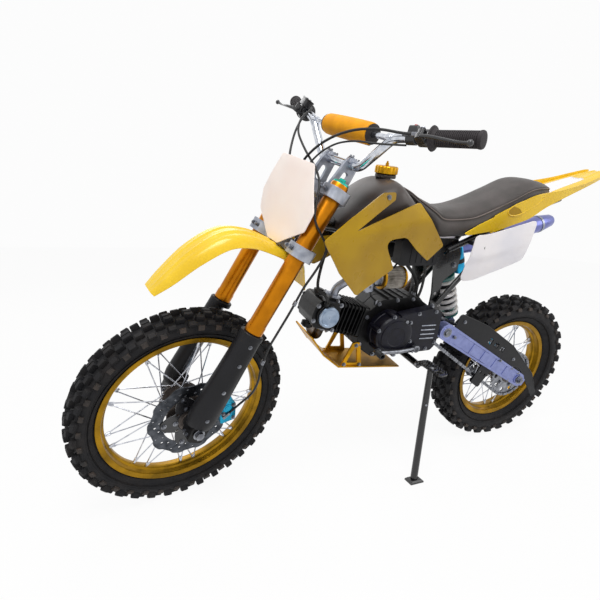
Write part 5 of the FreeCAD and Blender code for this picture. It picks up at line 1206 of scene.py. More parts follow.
def buildCaliper(name, place, node, discY, body):
    low, high = discY - 17, discY + 22
    outline = rounded([(-20, -34, 8), (24, -30, 10), (24, 30, 10), (-20, 34, 8)])
    halves = joined(plate(outline, low, discY - 5), plate(outline, discY + 8.5, high),
                    plate(rounded([(14, -27, 3), (24, -26, 6), (24, 26, 6), (14, 27, 3)]), low, high))
    drums = [rod((0, high - 1, z), (0, high + 2, z), 13, 12, 32) for z in (-15, 15)]
    drums += [rod((0, high + 2, z), (0, high + 3.4, z), 8, sides=24) for z in (-15, 15)]
    built(name, joined(halves, *drums), "caliper_blue", place, body, nodes=[node], bevel=1.6)
    bolts = hexBolts([(17, high, -22), (17, high, 22), (-12, high, 0)], (0, 1, 0), 4.2, 5)
    built(name + "Bolts", bolts, "steel", place, body)
    pads = joined(block((-16, discY - 4.6, -22), (10, discY - 0.8, 22)),
                  block((-16, discY + 4.4, -22), (10, discY + 8.2, 22)))
    built(name + "Pads", pads, "steel", place, body, material=sealRubber)


caliperTurn = Matrix.Rotation(radians(-150), 4, "Y") @ Matrix.Translation((96, 0, 0))
buildCaliper("frontCaliper", shifted(fork, legX, 0, 0) @ caliperTurn, "front_caliper", 52, "steering")

# the hose's and the cables' points, as in the part's source
hosePoints = [(-28, 77.4, 44), (-44, 79, 84), (-44, 100, 130), (-22, 122, 176), (4, 130, 224), (16, 129, 275),
              (13, 126, 330), (12, 125, 390), (13, 122, 450), (14, 130, 500), (18, 134, 550)]
cablePoints = {"clutchCable": [(62, 190, 848), (82, 145, 838), (98, 98, 820), (107, 52, 792), (109, 12, 756),
                               (106, -16, 712), (92, -24, 668), (70, -22, 625), (50, -20, 580), (50, -20, 535.3)],
               "throttleCable": [(60, -186, 841), (84, -152, 812), (104, -114, 768), (110, -80, 720), (98, -60, 674),
                                 (72, -50, 626), (50, -44, 580), (50, -44, 535.3)]}


def buildHoses():
    steered("brakeHose", bent(hosePoints, 3, 200, 14, 8), "hose_black", nodes=["brake_hose"])
    fittings = joined(rod((-22, 76.6, 35), (-31, 78, 50), 5, 4.2, 16), rod((-20, 76, 32), (-24, 77, 38), 7, sides=6))
    clips = [rod((6, 128.5, 232), (9, 129.5, 244), 5, sides=20), rod((12.6, 124.6, 400), (12.8, 124, 412), 5, sides=20)]
    steered("brakeHoseFittings", joined(fittings, *clips), "steel")
    for name, side, inner, below, node in (("clutchCable", 1, -bar["gripLength"] - 26.8, 0, "clutch_cable"),
                                           ("throttleCable", -1, -bar["gripLength"] - 34.8, 5, "throttle_cable")):
        start = gripPlace @ Vector((bar["radius"] + 3.5, inner, -below))
        start.y *= side
        route = [start] + cablePoints[name]
        steered(name, bent(route, 3, 200, 14, 8), "hose_black", nodes=[node])
    wire = [gripPlace @ Vector((-4, -bar["gripLength"] - 56, -15)), (66, 150, 812), (92, 104, 796), (102, 62, 776),
            (102, 24, 744), (98, 0, 704), (86, -8, 664), (70, -8, 622), (46, -6, 580), (46, -4, 536)]
    steered("killSwitchWire", bent(wire, 2.2, 200, 12, 8), "hose_black")
    start = gripPlace @ Vector((14, -bar["gripLength"] - 49, 12))
    start.y *= -1
    feed = [start, (70, -150, 858), (100, -132, 812), (110, -94, 772), (104, -34, 738), (96, 34, 708),
            (legX + 40, 78, 680), (legX + 38, 98, 640), (legX + 30, 114, 600), (30, 128, 568), (18.5, 134, 551)]
    steered("brakeFeedHose", bent(feed, 2.8, 200, 12, 8), "hose_black")
    ferrules = [rod((50, y, 535.2), (50, y, 549), 5, 4.4, 16) for y in (-20, -44)]
    steered("cableFerrules", joined(*ferrules), "steel")


buildHoses()
print("handlebar and controls ready")


# Engine

deckEnd, barrelLength = 90.3, 76
headStart = deckEnd + barrelLength + 0.3
engineSizes = {"coverFace": 106, "coverRadius": 62, "finHalf": 48}


def roundedBox(low, high, radius, y0, y1, plane="side"):
    return plate(rounded([(low[0], low[1], radius), (high[0], low[1], radius), (high[0], high[1], radius),
                          (low[0], high[1], radius)]), y0, y1, plane=plane)


def buildCrankcase():
    outline = rounded([(427.3, 452, 10), (480, 405, 20), (606, 405, 25), (664, 445, 20), (644, 545, 12),
                       (600, 585, 20), (480, 592, 20), (427.3, 560, 20)], 6)
    case = joined(plate(outline, -50, -0.8), plate(outline, 0.8, 50))
    inner = [Vector((546 + (p.x - 546) * 0.985, 498 + (p.y - 498) * 0.985)) for p in outline]
    gasket = plate(inner, -1, 1)
    built("crankcase", joined(case, gasket), "cast_black", nodes=["engine_case"], bevel=2.2)
    deck = moved(roundedBox((-48, -48), (48, 48), 12, 30, 90, "front"), machine.inverted() @ engine)
    built("barrelDeck", deck, "cast_black", bevel=2)
    clutch = joined(rod((530, -49, 500), (530, -88, 500), 68, 66, 64),
                    rod((530, -87, 500), (530, -92, 500), 56, 52, 64),
                    rod((600, -48, 520), (600, -70, 520), 26, 24, 40))
    built("clutchCover", clutch, "cast_black", bevel=2)
    rim = [(530 + x, y, 500 + z) for x, y, z in ring(61, -88, 9)]
    built("clutchCoverBolts", hexBolts(rim, (0, -1, 0), 4, 4), "steel")
    seams = [(446, 50, 446), (474, 50, 416), (540, 50, 411), (600, 50, 412), (652, 50, 450), (640, 50, 535),
             (606, 50, 574), (545, 50, 583), (490, 50, 584), (436, 50, 552)]
    built("crankcaseBolts", bothSides(hexBolts(seams, (0, 1, 0), 4.4, 5)), "steel")
    x, z = chain["drivePlace"]
    sprocket = plate([Vector((x + p.x, z + p.y)) for p in toothedOutline(chain["driveTeeth"], 26.5, 33)], 60, 64)
    shaft = rod((x, 48, z), (x, 70, z), 10)
    built("driveSprocket", joined(sprocket, shaft), "steel", bevel=0.4)


def buildLeftCover():
    x, z, face, radius = crankPlace[0], crankPlace[1], engineSizes["coverFace"], engineSizes["coverRadius"]
    place = shifted(machine, x, 0, z)
    drum = lathe([(1, 50.3), (radius, 50.3), (radius, 66), (radius - 1.5, 68), (radius - 1.5, 98),
                  (radius - 5, face - 2), (radius - 9, face), (radius - 12, face + 0.6), (radius - 13, face + 3.6),
                  (radius - 15, face + 4.2), (30, face + 4.4), (27, face + 2.6), (1, face + 2.6)], 96)
    built("generatorCover", drum, "cast_black", place, nodes=["left_engine_cover"], sharp=30, material=navyCasting)
    lobes = []
    bolts = []
    for angle in (20, 78, 140, 200, 262, 320):
        a = radians(angle)
        px, pz = (radius - 1) * cos(a), (radius - 1) * sin(a)
        lobes.append(rod((px, 58, pz), (px, face - 4, pz), 7.5, sides=28))
        bolts.append((px, face - 4, pz))
    built("generatorCoverLobes", joined(*lobes), "cast_black", place, bevel=0.8, material=navyCasting)
    built("generatorCoverBolts", hexBolts(bolts, (0, 1, 0), 4.2, 5), "steel", place)
    ribs = [plate(rounded([(-140, h - 1.6, 1.5), (-88, h - 0.4, 1.5), (-88, h + 2.8, 1.5),
                           (-140, h + 1.6, 1.5)]), face - 4, face - 1.4) for h in (-16, -2, 12, 26)]
    built("coverRibs", joined(*ribs), "silver_alloy", place, bevel=0.6)
    built("timingPlug", rod((-30, face - 4, 44), (-30, face + 2, 44), 6, sides=6), "steel", place, bevel=0.4)
    chainSide = 72.8      # just clear of the chain
    skirt = rounded([(415, 556, 8), (452, 574, 20), (560, 557, 1), (560, 434, 1), (432, 436, 16), (415, 456, 10)])
    shell = plate(skirt, chainSide, face - 3)
    built("sprocketCover", shell, "cast_black", bevel=2.4, material=navyCasting)
    pins = [(424, face - 3, 462), (440, face - 3, 563), (500, face - 3, 560), (452, face - 3, 444)]
    built("sprocketCoverBolts", hexBolts(pins, (0, 1, 0), 4.2, 5), "steel")


def buildBarrel():
    half = engineSizes["finHalf"]
    core = rod((deckEnd, 0, 0), (deckEnd + barrelLength, 0, 0), 38, sides=64)
    fins = []
    count = 6
    step = barrelLength / count
    for i in range(count):
        x = deckEnd + step * (i + 0.5)
        fins.append(roundedBox((-half, -half), (half, half), 13, x - 1.3, x + 1.3, "front"))
    studs = [rod((deckEnd, y, z), (deckEnd + barrelLength, y, z), 5.5) for y in (37, -37) for z in (37, -37)]
    built("barrelCore", joined(core, *studs), "cast_black", engine, nodes=["cylinder_barrel"])
    built("barrelFins", joined(*fins), "cast_black", engine, bevel=0.7)
    nuts = [(headStart + 20, y, z) for y in (40, -40) for z in (44, -44)]
    built("barrelNuts", hexBolts(nuts, (-1, 0, 0), 5, 6), "steel", engine)


def buildHead():
    half, height = 50, 46
    outline = rounded([(headStart, -height, 1), (headStart + 72, -height, 14), (headStart + 86, -16, 14),
                       (headStart + 86, 16, 14), (headStart + 72, height, 14), (headStart, height, 1)], 6)
    inner = [Vector((headStart + 4 + (p.x - headStart) * 0.93, p.y * 0.88)) for p in outline]
    core = plate(inner, -half, half)
    fins = []
    count = 5
    for i in range(count):
        height0 = -height + 10 + i * (2 * height - 20) / (count - 1)
        fins.append(plate(rounded([(headStart + 2, -half + 2, 6), (headStart + 62, -half + 2, 10),
                                   (headStart + 62, half - 2, 10), (headStart + 2, half - 2, 6)]),
                          height0 - 1.4, height0 + 1.4, plane="flat"))
    built("cylinderHead", core, "cast_black", engine, nodes=["cylinder_head"], bevel=2.4)
    built("headFins", joined(*fins), "cast_black", engine, bevel=0.8)
    centre = headStart + 40
    boss = moved(lathe([(1, half - 2), (34, half - 2), (34, half + 5), (32, half + 7), (1, half + 7)], 72),
                 Matrix.Translation((centre, 0, 0)))
    built("camBoss", boss, "cast_black", engine, bevel=0.8)
    capShape = moved(lathe([(1, half + 7), (30, half + 7), (31, half + 9), (31, half + 14), (29, half + 16.4),
                            (24, half + 16.8), (22, half + 15.2), (1, half + 15.2)], 72),
                     Matrix.Translation((centre, 0, 0)))
    built("camCap", capShape, "silver_alloy", engine, bevel=0.5, material=coolAluminium)
    side = [(headStart + 8, half, 38), (headStart + 8, half, -38), (headStart + 76, half, 22),
            (headStart + 76, half, -22)]
    built("headBolts", bothSides(hexBolts(side, (0, 1, 0), 4.4, 5)), "steel", engine)
    caps = [joined(rod((centre + 22, 0, way * 44), (centre + 22, 0, way * 56), 17, sides=40),
                   rod((centre + 22, 0, way * 55), (centre + 22, 0, way * 60), 12, sides=6)) for way in (1, -1)]
    built("valveCaps", joined(*caps), "cast_black", engine, bevel=0.8)
    plugPlace = (headStart + 56, 50, 24)
    plug = joined(rod(plugPlace, (plugPlace[0] + 4, 57, 32), 8, sides=6),
                  rod((plugPlace[0] + 3, 56, 31), (plugPlace[0] + 8, 66, 42), 7.5, sides=24))
    built("sparkPlugCap", plug, "hose_black", engine, material=sealRubber)
    start = machine.inverted() @ engine @ Vector((plugPlace[0] + 7, 65, 41))
    lead = smoothLine([start, start + Vector((12, 4, 22)), (810, 50, 632), (802, 38, 684), (782, 24, 734),
                       (758, 16, 768)], 8)
    built("sparkLead", tube(lead, 4, 14), "hose_black", material=sealRubber)


navyCasting = castMetal("navyPaintedCasting", "#121220", "#090912", 0.28, 0.5, 0.1, gloss=0.3)
coolAluminium = castMetal("brushedCoolAluminium", "#a6b4c6", "#7f91a8", 0.24, 0.42, 0.9, 4)
buildCrankcase()
buildLeftCover()
buildBarrel()
buildHead()


def buildIntake():
    inMachine = machine.inverted() @ engine
    port = inMachine @ Vector((headStart + 14, 0, 46.3))
    up = (inMachine.to_3x3() @ Vector((0, 0, 1))).normalized()
    elbow = port + up * 26
    y, z = 35, 650
    pipe = bent([port, elbow, (695, y - 8, z), (672, y, z)], 12, 22, 28, 8)
    flange = moved(roundedBox((-17, -24), (17, 24), 10, 0, 7, "flat"),
                   Matrix.Translation(port) @ inMachine.to_3x3().normalized().to_4x4())
    built("intakeManifold", joined(pipe, flange), "silver_alloy", nodes=["carburettor"], bevel=0.5)
    throat = rod((676, y, z), (612, y, z), 20, sides=40)
    bell = joined(rod((622, y, z), (612.2, y, z), 21.5, 24, 40), rod((678, y, z), (672, y, z), 17, 19, 32))
    bowl = joined(rod((648, y, z - 8), (648, y, z - 36), 19, sides=40),
                  rod((648, y, z - 35), (648, y, z - 42), 9, sides=6))
    cap = joined(rod((648, y, z + 10), (648, y, z + 34), 15, sides=36),
                 rod((648, y, z + 32), (648, y, z + 42), 17, sides=36),
                 rod((648, y, z + 41), (648, y, z + 44), 8, sides=20))
    built("carburettorBody", joined(throat, bell, bowl, cap), "silver_alloy", bevel=0.8)
    trim = joined(hexBolt((656, y + 20, z - 4), (0, 1, 0), 4, 8), hexBolt((638, y + 19, z + 6), (0, 1, 0), 3.2, 6),
                  hexBolt((648, y + 18, z - 22), (0, 1, 0), 3.4, 4))
    lever = plate(rounded([(628, z - 12, 4), (640, z - 12, 4), (640, z + 16, 4), (628, z + 16, 4)]), y + 20, y + 23)
    built("carburettorTrim", joined(trim, lever), "steel")

    start, length, radius = 611.7, 76, 32
    sides = 192
    row = [radius - 5 * abs(cos(12 * 2 * pi * k / sides)) for k in range(sides)]
    rows = [[(start - x, y + r * cos(2 * pi * k / sides), z + r * sin(2 * pi * k / sides))
             for k, r in enumerate(row)] for x in (5, length - 5)]
    built("filterPleats", loft(rows), "filter_mesh", nodes=["air_filter"], sharp=24)
    filterTurn = Matrix.Translation((start, y, z)) @ Matrix.Rotation(pi / 2, 4, "Z")
    front = moved(lathe([(16, 0), (33, 0), (33.4, 1), (33.4, 6), (32, 7), (16, 7)], 56), filterTurn)
    built("filterFrontRing", front, "gold_metal", bevel=0.4)
    rear = moved(lathe([(1, length - 7), (32, length - 7), (33.4, length - 6), (33.4, length - 2), (30, length),
                        (1, length)], 56), filterTurn)
    built("filterEndCap", rear, "gold_metal", bevel=0.4)
    clip = moved(lathe([(24.2, 1), (25.4, 1), (25.4, 9), (24.2, 9)], 48),
                 Matrix.Translation((622, y, z)) @ Matrix.Rotation(pi / 2, 4, "Z"))
    built("filterClip", clip, "steel")


def buildExhaust():
    inMachine = machine.inverted() @ engine
    port = inMachine @ Vector((headStart + 18, 0, -46.3))
    down = (inMachine.to_3x3() @ Vector((0, 0, -1))).normalized()
    y = -122
    headerEnd, tip = Vector((262, -104, 688)), Vector((-200, -114, 806))
    runIn = headerEnd - (tip - headerEnd).normalized() * 60
    corners = [port, port + down * 35, (764, -72, 461), (700, y, 440), (560, y, 440), (455, y, 470), (372, y, 560),
               runIn, headerEnd]
    built("exhaustHeader", bent(corners, 14, 200, 28, 10), "exhaust_steel", nodes=["exhaust_header"])
    flange = joined(rod(port, port + down * 8, 20, sides=32), rod(port + down * 7, port + down * 12, 17, 15.5, 32))
    built("headerFlange", flange, "steel", bevel=0.5)
    turn = Vector((0, 1, 0)).rotation_difference(tip - headerEnd).to_matrix().to_4x4()
    place = shifted(machine, *headerEnd) @ turn
    run = (tip - headerEnd).length
    body = [(0.2, 0.3), (16, 0.3), (16, 30), (20, 44), (28, 104), (30, 112), (30, run - 60), (29, run - 52),
            (22.5, run - 9), (18, run), (14.5, run), (14, run - 2), (14, run - 30), (0.2, run - 30)]
    built("silencerCan", lathe(body, 72, closed=False), "silencer_blue", place, nodes=["silencer"])
    bands = [lathe([(30.1, a), (31.4, a), (31.4, a + 9), (30.1, a + 9)], 72) for a in (114, run - 72)]
    bands.append(lathe([(16.1, 2), (18, 2), (18, 20), (16.1, 20)], 40))
    built("silencerBands", joined(*bands), "silver_alloy", place, bevel=0.3)


def buildLoom():                # a breather, an earth lead and two ribs on the case's back
    breather = smoothLine([(470, 22, 590), (468, 24, 618), (488, 30, 652), (528, 34, 690), (560, 34, 730)], 8)
    built("caseBreather", tube(breather, 5, 14), "hose_black", material=sealRubber)
    loom = smoothLine([(470, 42, 580), (462, 43, 620), (464, 42, 680), (478, 30, 742)], 8)
    lead = smoothLine([(612, 40, 580), (640, 46, 606), (620, 44, 640), (580, 40, 672), (540, 30, 716)], 8)
    built("wiringLoom", joined(tube(loom, 4, 12), tube(lead, 2.6, 10)), "hose_black")
    neck = joined(rod((470, 22, 586), (470, 22, 596), 8, 7, 24), rod((612, 40, 570), (612, 40, 582), 6, sides=6))
    built("breatherNeck", neck, "steel", bevel=0.4)
    ribs = [block((x, -46, 586), (x + 5, 46, 593)) for x in (500, 524, 548, 572)]
    built("caseRibs", joined(*ribs), "cast_black", bevel=1)


buildIntake()
buildExhaust()
buildLoom()
print("engine ready")


# Frame, swingarm, chain and shock absorber

pivotX, pivotZ = pivotPlace
armLength = armSpan.length
railY = 62.3
headFoot, headHead = 541, 656      # along the steering axis


def buildFrame():
    toMachine = machine.inverted() @ fork
    headLow, headHigh = (toMachine @ Vector((0, 0, h)) for h in (headFoot, headHead))
    backboneStart = toMachine @ Vector((0, 0, 600))
    head = rod(headLow, headHigh, 26, sides=48)
    cups = joined(rod(headLow, headLow + (headHigh - headLow).normalized() * 12, 28.5, sides=48),
                  rod(headHigh, headHigh - (headHigh - headLow).normalized() * 12, 28.5, sides=48))
    backbone = bent([backboneStart, (640, 0, 775), (pivotX + 38, 0, 742)], 20, 60, 32, 10)
    gusset = plate(rounded([(backboneStart.x + 4, backboneStart.z - 6, 1), (backboneStart.x - 60, 802, 6),
                            (backboneStart.x - 74, 764, 10), (backboneStart.x + 22, backboneStart.z - 44, 6)]), -3, 3)
    built("frameBackbone", joined(head, backbone, gusset), "black_frame", nodes=["main_frame"])
    built("headBearingCups", cups, "steel", bevel=0.8)
    outline = rounded([(442, 770, 10), (372, 770, 20), (350, 716, 14), (352, 674, 12), (398, 640, 20),
                       (398, 560, 20), (354, 520, 14), (354, 450, 16), (392, 430, 20), (427, 450, 1), (427, 600, 20),
                       (444, 700, 20)], 6)
    sidePlate = plate(outline, 47, 53, [circle(412, 730, 9, 24), circle(413, 600, 7, 20)])
    cross = joined(rod((pivotX + 38, -48, 742), (pivotX + 38, 48, 742), 16, sides=32),
                   rod((pivotX, -76, pivotZ), (pivotX, 76, pivotZ), 16, sides=40))
    built("pivotPlates", joined(bothSides(sidePlate), cross), "black_frame", bevel=1.2)
    bolts = hexBolts([(370, 53, 690), (418, 53, 560), (418, 53, 470)], (0, 1, 0), 6, 7)
    built("pivotPlateBolts", bothSides(bolts), "steel")
    rail = bent([(pivotX + 33, railY, 738), (330, railY, 774.6), (155, railY, 855.5), (20, railY, 903.3)], 9, 60, 20, 8)
    strut = bent([(pivotX + 28, railY, 572), (300, railY, 706), (212, railY, 829)], 8, 60, 20, 8)
    crosses = [rod((x, -railY, z), (x, railY, z), 7) for x, z in ((32, 899), (212, 829))]
    built("subframeTubes", joined(bothSides(joined(rail, strut)), *crosses), "black_frame", nodes=["subframe"])
    box = roundedBox((444.3, 692), (574.3, 770), 8, 26, 62)
    ribs = [roundedBox((458.3 + 20 * i, 700), (460 + 20 * i, 762), 3, 61, 63.5) for i in range(5)]
    built("innerCovers", bothSides(joined(box, *ribs)), "black_plastic", nodes=["battery_covers"], bevel=2)


def beltOutline(rearRadius, frontRadius, length, sides=28):
    lean = acos((rearRadius - frontRadius) / length)
    outline = []
    for i in range(sides + 1):
        angle = -lean + (2 * lean) * i / sides
        outline.append(Vector((length + frontRadius * cos(angle), frontRadius * sin(angle))))
    for i in range(sides + 1):
        outline.append(polar(rearRadius, lean + (2 * pi - 2 * lean) * i / sides))
    return outline


def buildSwingarm():
    outer = beltOutline(24, 27, armLength)
    inner = beltOutline(17, 19, armLength)
    body = plate(outer, 78, 103)
    border = plate(outer, 102.5, 106, [inner])
    bosses = joined(rod((armLength, 102, 0), (armLength, 107, 0), 20, sides=40),
                    rod((0, 102, 0), (0, 106.2, 0), 19, sides=40))
    adjuster = plate(rounded([(-30, -13, 3), (22, -13, 5), (22, 13, 5), (-30, 13, 3)]), 102.6, 106.2)
    slot = plate(rounded([(-16, -8, 6), (16, -8, 6), (16, 8, 6), (-16, 8, 6)]), 106, 106.5)
    web = [plate(rounded([(x - 3, -19, 1), (x + 3, -19, 1), (x + 3, 19, 1), (x - 3, 19, 1)]), 102.6, 104.6)
           for x in (95, 165, 235, 300)]
    built("swingarmBeams", bothSides(joined(body, border, bosses, adjuster, *web)), "silver_alloy", arm,
          nodes=["swingarm"], bevel=1.2, material=violetAluminium)
    built("adjusterSlots", bothSides(slot), "silver_alloy", arm, bevel=0.4, material=sealRubber)
    bridge = plate(rounded([(armLength - 112, -20, 6), (armLength - 68, -20, 6), (armLength - 68, 20, 6),
                            (armLength - 112, 20, 6)]), -79, 79)
    eyeX, eyeZ = armLength - 84, 40
    ear = plate(rounded([(eyeX - 22, 15, 1), (eyeX + 20, 15, 1), (eyeX + 12, eyeZ + 10, 9), (eyeX - 12, eyeZ + 10, 9)]),
                14, 19)
    built("swingarmBridge", joined(bridge, bothSides(ear)), "silver_alloy", arm, bevel=1.5, material=violetAluminium)
    pin = joined(rod((armLength, -112, 0), (armLength, 112, 0), 8, sides=32),
                 rod((eyeX, -20, eyeZ), (eyeX, 20, eyeZ), 6))
    heads = joined(rod((armLength, 106, 0), (armLength, 108, 0), 15, sides=32),
                   rod((armLength, 107.5, 0), (armLength, 113, 0), 11, sides=6))
    screws = hexBolts([(24, 103, 20), (52, 103, -22), (70, 103, 21), (armLength - 40, 106, 0), (150, 106, 20.5)],
                      (0, 1, 0), 4, 4)
    built("swingarmBolts", joined(pin, bothSides(heads), bothSides(screws)), "steel", arm, bevel=0.4)
    axle = joined(rod((0, -117.6, 0), (0, 117.6, 0), 7.5, sides=32),
                  bothSides(joined(rod((0, 106.2, 0), (0, 108, 0), 15, sides=32),
                                   rod((0, 107.8, 0), (0, 114.3, 0), 11.5, sides=6),
                                   rod((0, 69.2, 0), (0, 77.6, 0), 12.4, sides=32))))
    built("rearAxle", axle, "steel", arm, nodes=["rear_axle"], bevel=0.5)
    chainBolt = joined(rod((-48, 92, 0), (-26, 92, 0), 3.5, sides=16), rod((-40, 92, 0), (-34, 92, 0), 7, sides=6),
                       block((-33, 82, -15), (-29, 102, 15)))
    built("chainAdjusters", bothSides(chainBolt), "steel", arm, bevel=0.4)


violetAluminium = castMetal("castVioletAluminium", "#8b93c3", "#7c84b4", 0.26, 0.42, 0.8)


def chainLine():
    toArm = arm.inverted() @ machine
    drive = toArm @ Vector((chain["drivePlace"][0], 0, chain["drivePlace"][1]))
    bigRadius = chain["pitch"] / 2 / sin(pi / rearSprocket["teeth"])
    smallRadius = chain["pitch"] / 2 / sin(pi / chain["driveTeeth"])
    along = Vector((drive.x, drive.z))
    length = along.length
    tilt = atan2(along.y, along.x)
    lean = acos((bigRadius - smallRadius) / length)
    line = []
    for i in range(61):
        angle = tilt + lean + (2 * pi - 2 * lean) * i / 60
        line.append(Vector((bigRadius * cos(angle), 0, bigRadius * sin(angle))))
    for i in range(61):
        angle = tilt - lean + 2 * lean * i / 60
        line.append(Vector((drive.x + smallRadius * cos(angle), 0, drive.z + smallRadius * sin(angle))))
    return line


def evenSteps(line, step):      # places along a closed line, an even number of them
    runs = [(b - a).length for a, b in zip(line, line[1:] + line[:1])]
    count = 2 * round(sum(runs) / step / 2)
    gap = sum(runs) / count
    places, travelled, index = [], 0.0, 0
    for i in range(count):
        target = i * gap
        while travelled + runs[index] < target:
            travelled += runs[index]
            index += 1
        start, stop = line[index], line[(index + 1) % len(line)]
        places.append(start.lerp(stop, (target - travelled) / runs[index]))
    return places


def linkPlate(y):
    half, waist, reach = 5.4, 3.9, chain["pitch"] / 2
    outline = [Vector((half * cos(a) - reach, half * sin(a))) for a in (radians(d) for d in range(60, 301, 24))]
    outline += [Vector((0, -waist))]
    outline += [Vector((half * cos(a) + reach, half * sin(a))) for a in (radians(d) for d in range(-120, 121, 24))]
    outline += [Vector((0, waist))]
    return plate(outline, y - 0.7, y + 0.7)


def buildChain():
    steps = evenSteps(chainLine(), chain["pitch"])
    outers, inners, pins = [], [], []
    for i, place in enumerate(steps):
        following = steps[(i + 1) % len(steps)]
        middle = (place + following) / 2
        run = (following - place).normalized()
        turn = Matrix.Rotation(-atan2(run.z, run.x), 4, "Y")
        here = arm @ Matrix.Translation((middle.x, chain["y"], middle.z)) @ turn
        (outers if i % 2 else inners).append(here)
        pins.append(arm @ Matrix.Translation((place.x, chain["y"], place.z)))
    repeated("chainOuterLinks", joined(linkPlate(5.2), linkPlate(-5.2)), outers, "chassis", "steel",
             nodes=["drive_chain"], sharp=30)
    repeated("chainInnerLinks", joined(linkPlate(3.5), linkPlate(-3.5)), inners, "chassis", "steel", sharp=30)
    roller = joined(rod((0, -3, 0), (0, 3, 0), 3.9, sides=12), rod((0, -6.6, 0), (0, 6.6, 0), 1.9, sides=10))
    repeated("chainRollers", roller, pins, "chassis", "steel", sharp=30)


def buildChainGuards():
    top = 27.3
    outline = rounded([(armLength - 30, top, 1), (armLength - 18, top + 44, 14), (armLength - 150, top + 62, 30),
                       (120, top + 58, 30), (-60, top + 18, 30), (-150, -8, 8), (-138, -24, 6), (-60, 8, 20),
                       (20, top + 8, 10), (60, top, 1)], 6)
    slots = [rounded([(x, top + 18, 4), (x + 20, top + 18, 4), (x + 20, top + 37, 4), (x, top + 37, 4)])
             for x in (150, 187, 224)]
    guard = plate(outline, 92, 95, slots)
    built("chainGuard", guard, "black_plastic", arm, nodes=["chain_guards"], bevel=0.8)
    lip = tube([(p.x, 93.5, p.y) for p in outline], 2.2, 8, closed=True)
    built("chainGuardLip", lip, "black_plastic", arm)
    bolts = hexBolts([(armLength - 50, 95, top + 30), (80, 95, top + 22)], (0, 1, 0), 4.2, 4)
    built("chainGuardBolts", bolts, "steel", arm)
    guide = rounded([(118, -23, 1), (178, -25, 1), (172, -96, 12), (126, -100, 12)])
    cheek = plate(guide, 73.7, 77.7, [circle(135, -50, 5, 20), circle(160, -50, 5, 20)])
    flange = plate(rounded([(122, -84, 6), (176, -80, 6), (172, -96, 8), (126, -100, 8)]), 70, 78)
    built("chainGuide", joined(cheek, flange), "black_plastic", arm, bevel=1)


def coil(radius, wire, low, high, turns, sides=12, steps=30):
    line = []
    count = int(turns * steps)
    for i in range(count + 1):
        share = i / count
        flat = min(share * turns, (1 - share) * turns, 1.0)
        z = low + (high - low) * share
        closed = 0.35 * (1 - flat) * (high - low) / turns
        z += -closed if share < 0.5 else closed
        z = min(max(z, low), high)
        angle = 2 * pi * turns * share
        line.append((radius * cos(angle), radius * sin(angle), z))
    return tube(line, wire, sides)


def buildShock():
    top = shockSpan.length
    eyes = joined(*[moved(lathe([(6.3, -13), (14, -13), (14, 13), (6.3, 13)], 40), Matrix.Translation((0, 0, z)))
                    for z in (0, top)])
    body = upright([(8, 172), (20.5, 172), (20.5, top - 26), (22, top - 24), (22, top - 12), (14, top - 8),
                    (8, top - 8)], 56)
    damper = upright([(8, 60), (22, 60), (22, 64), (20.5, 66), (20.5, 172), (8, 172)], 56)
    built("shockDamper", damper, "shock_teal", shock, bevel=0.6, material=sealRubber)
    reservoirTurn = Matrix.Translation((-60, 0, 0)) @ Matrix.Rotation(pi / 2, 4, "X")
    canister = moved(lathe([(1, top - 66), (15, top - 66), (18, top - 63), (18, top - 6), (17, top + 22),
                            (14, top + 26), (1, top + 26)], 48), reservoirTurn)
    bridge = plate(rounded([(-60, top - 50, 2), (-12, top - 50, 2), (-12, top - 30, 2), (-60, top - 30, 2)]), -8, 8)
    built("shockBody", joined(body, eyes, bridge), "shock_teal", shock, nodes=["shock_absorber"], bevel=0.6)
    built("shockReservoir", canister, "shock_teal", shock, bevel=0.8, material=reservoirBlue)
    band = moved(lathe([(18.1, top - 30), (18.8, top - 30), (18.8, top - 16), (18.1, top - 16)], 48), reservoirTurn)
    built("reservoirBand", band, "shock_teal", shock, material=sealRubber)
    built("shockShaft", rod((0, 0, 10), (0, 0, 66), 8, sides=32), "steel", shock)
    seats = joined(*[upright([(8.2, a), (33, a), (34, a + 2), (34, b - 2), (30, b), (8.2, b)], 56)
                     for a, b in ((24, 31), (158, 172))])
    threads = upright([(20.6, 140)] + [(r, z) for z in range(140, 196, 3) for r in (22.4, 20.8)] + [(20.6, 196)], 48,
                      closed=False)
    built("springSeats", joined(seats, threads), "shock_teal", shock, bevel=0.6)
    spring = coil(29.6, 6.3, 38, 151.5, 5.4, 16)
    built("shockSpring", spring, "spring_white", shock, nodes=["shock_spring"])


reservoirBlue = anodisedAluminium("anodisedReservoirBlue", "#34b4e4", "#1a86b4", 0.22, 0.36)
buildFrame()
buildSwingarm()
buildChain()
buildChainGuards()
buildShock()
rearCaliperTurn = Matrix.Rotation(radians(-52), 4, "Y") @ Matrix.Translation((81, 0, 0))
mirrorArm = arm @ Matrix.Scale(-1, 4, (0, 1, 0))
buildCaliper("rearCaliper", mirrorArm @ rearCaliperTurn, "rear_caliper", 57, "chassis")
print("running gear ready")


# Footrests, stand, foot controls and skid plate

pegs = {"x": 470, "z": 393, "length": 86, "width": 34}


def standFrame():
    joint = joints["side_stand_fold"]
    axis = (machine.inverted().to_3x3() @ Vector(joint["axis"])).normalized()
    place = machine.inverted() @ Vector(joint["pos_m"])
    turn = Vector((0, 0, 1)).rotation_difference(axis).to_matrix().to_4x4()
    return Matrix.Translation(place) @ turn


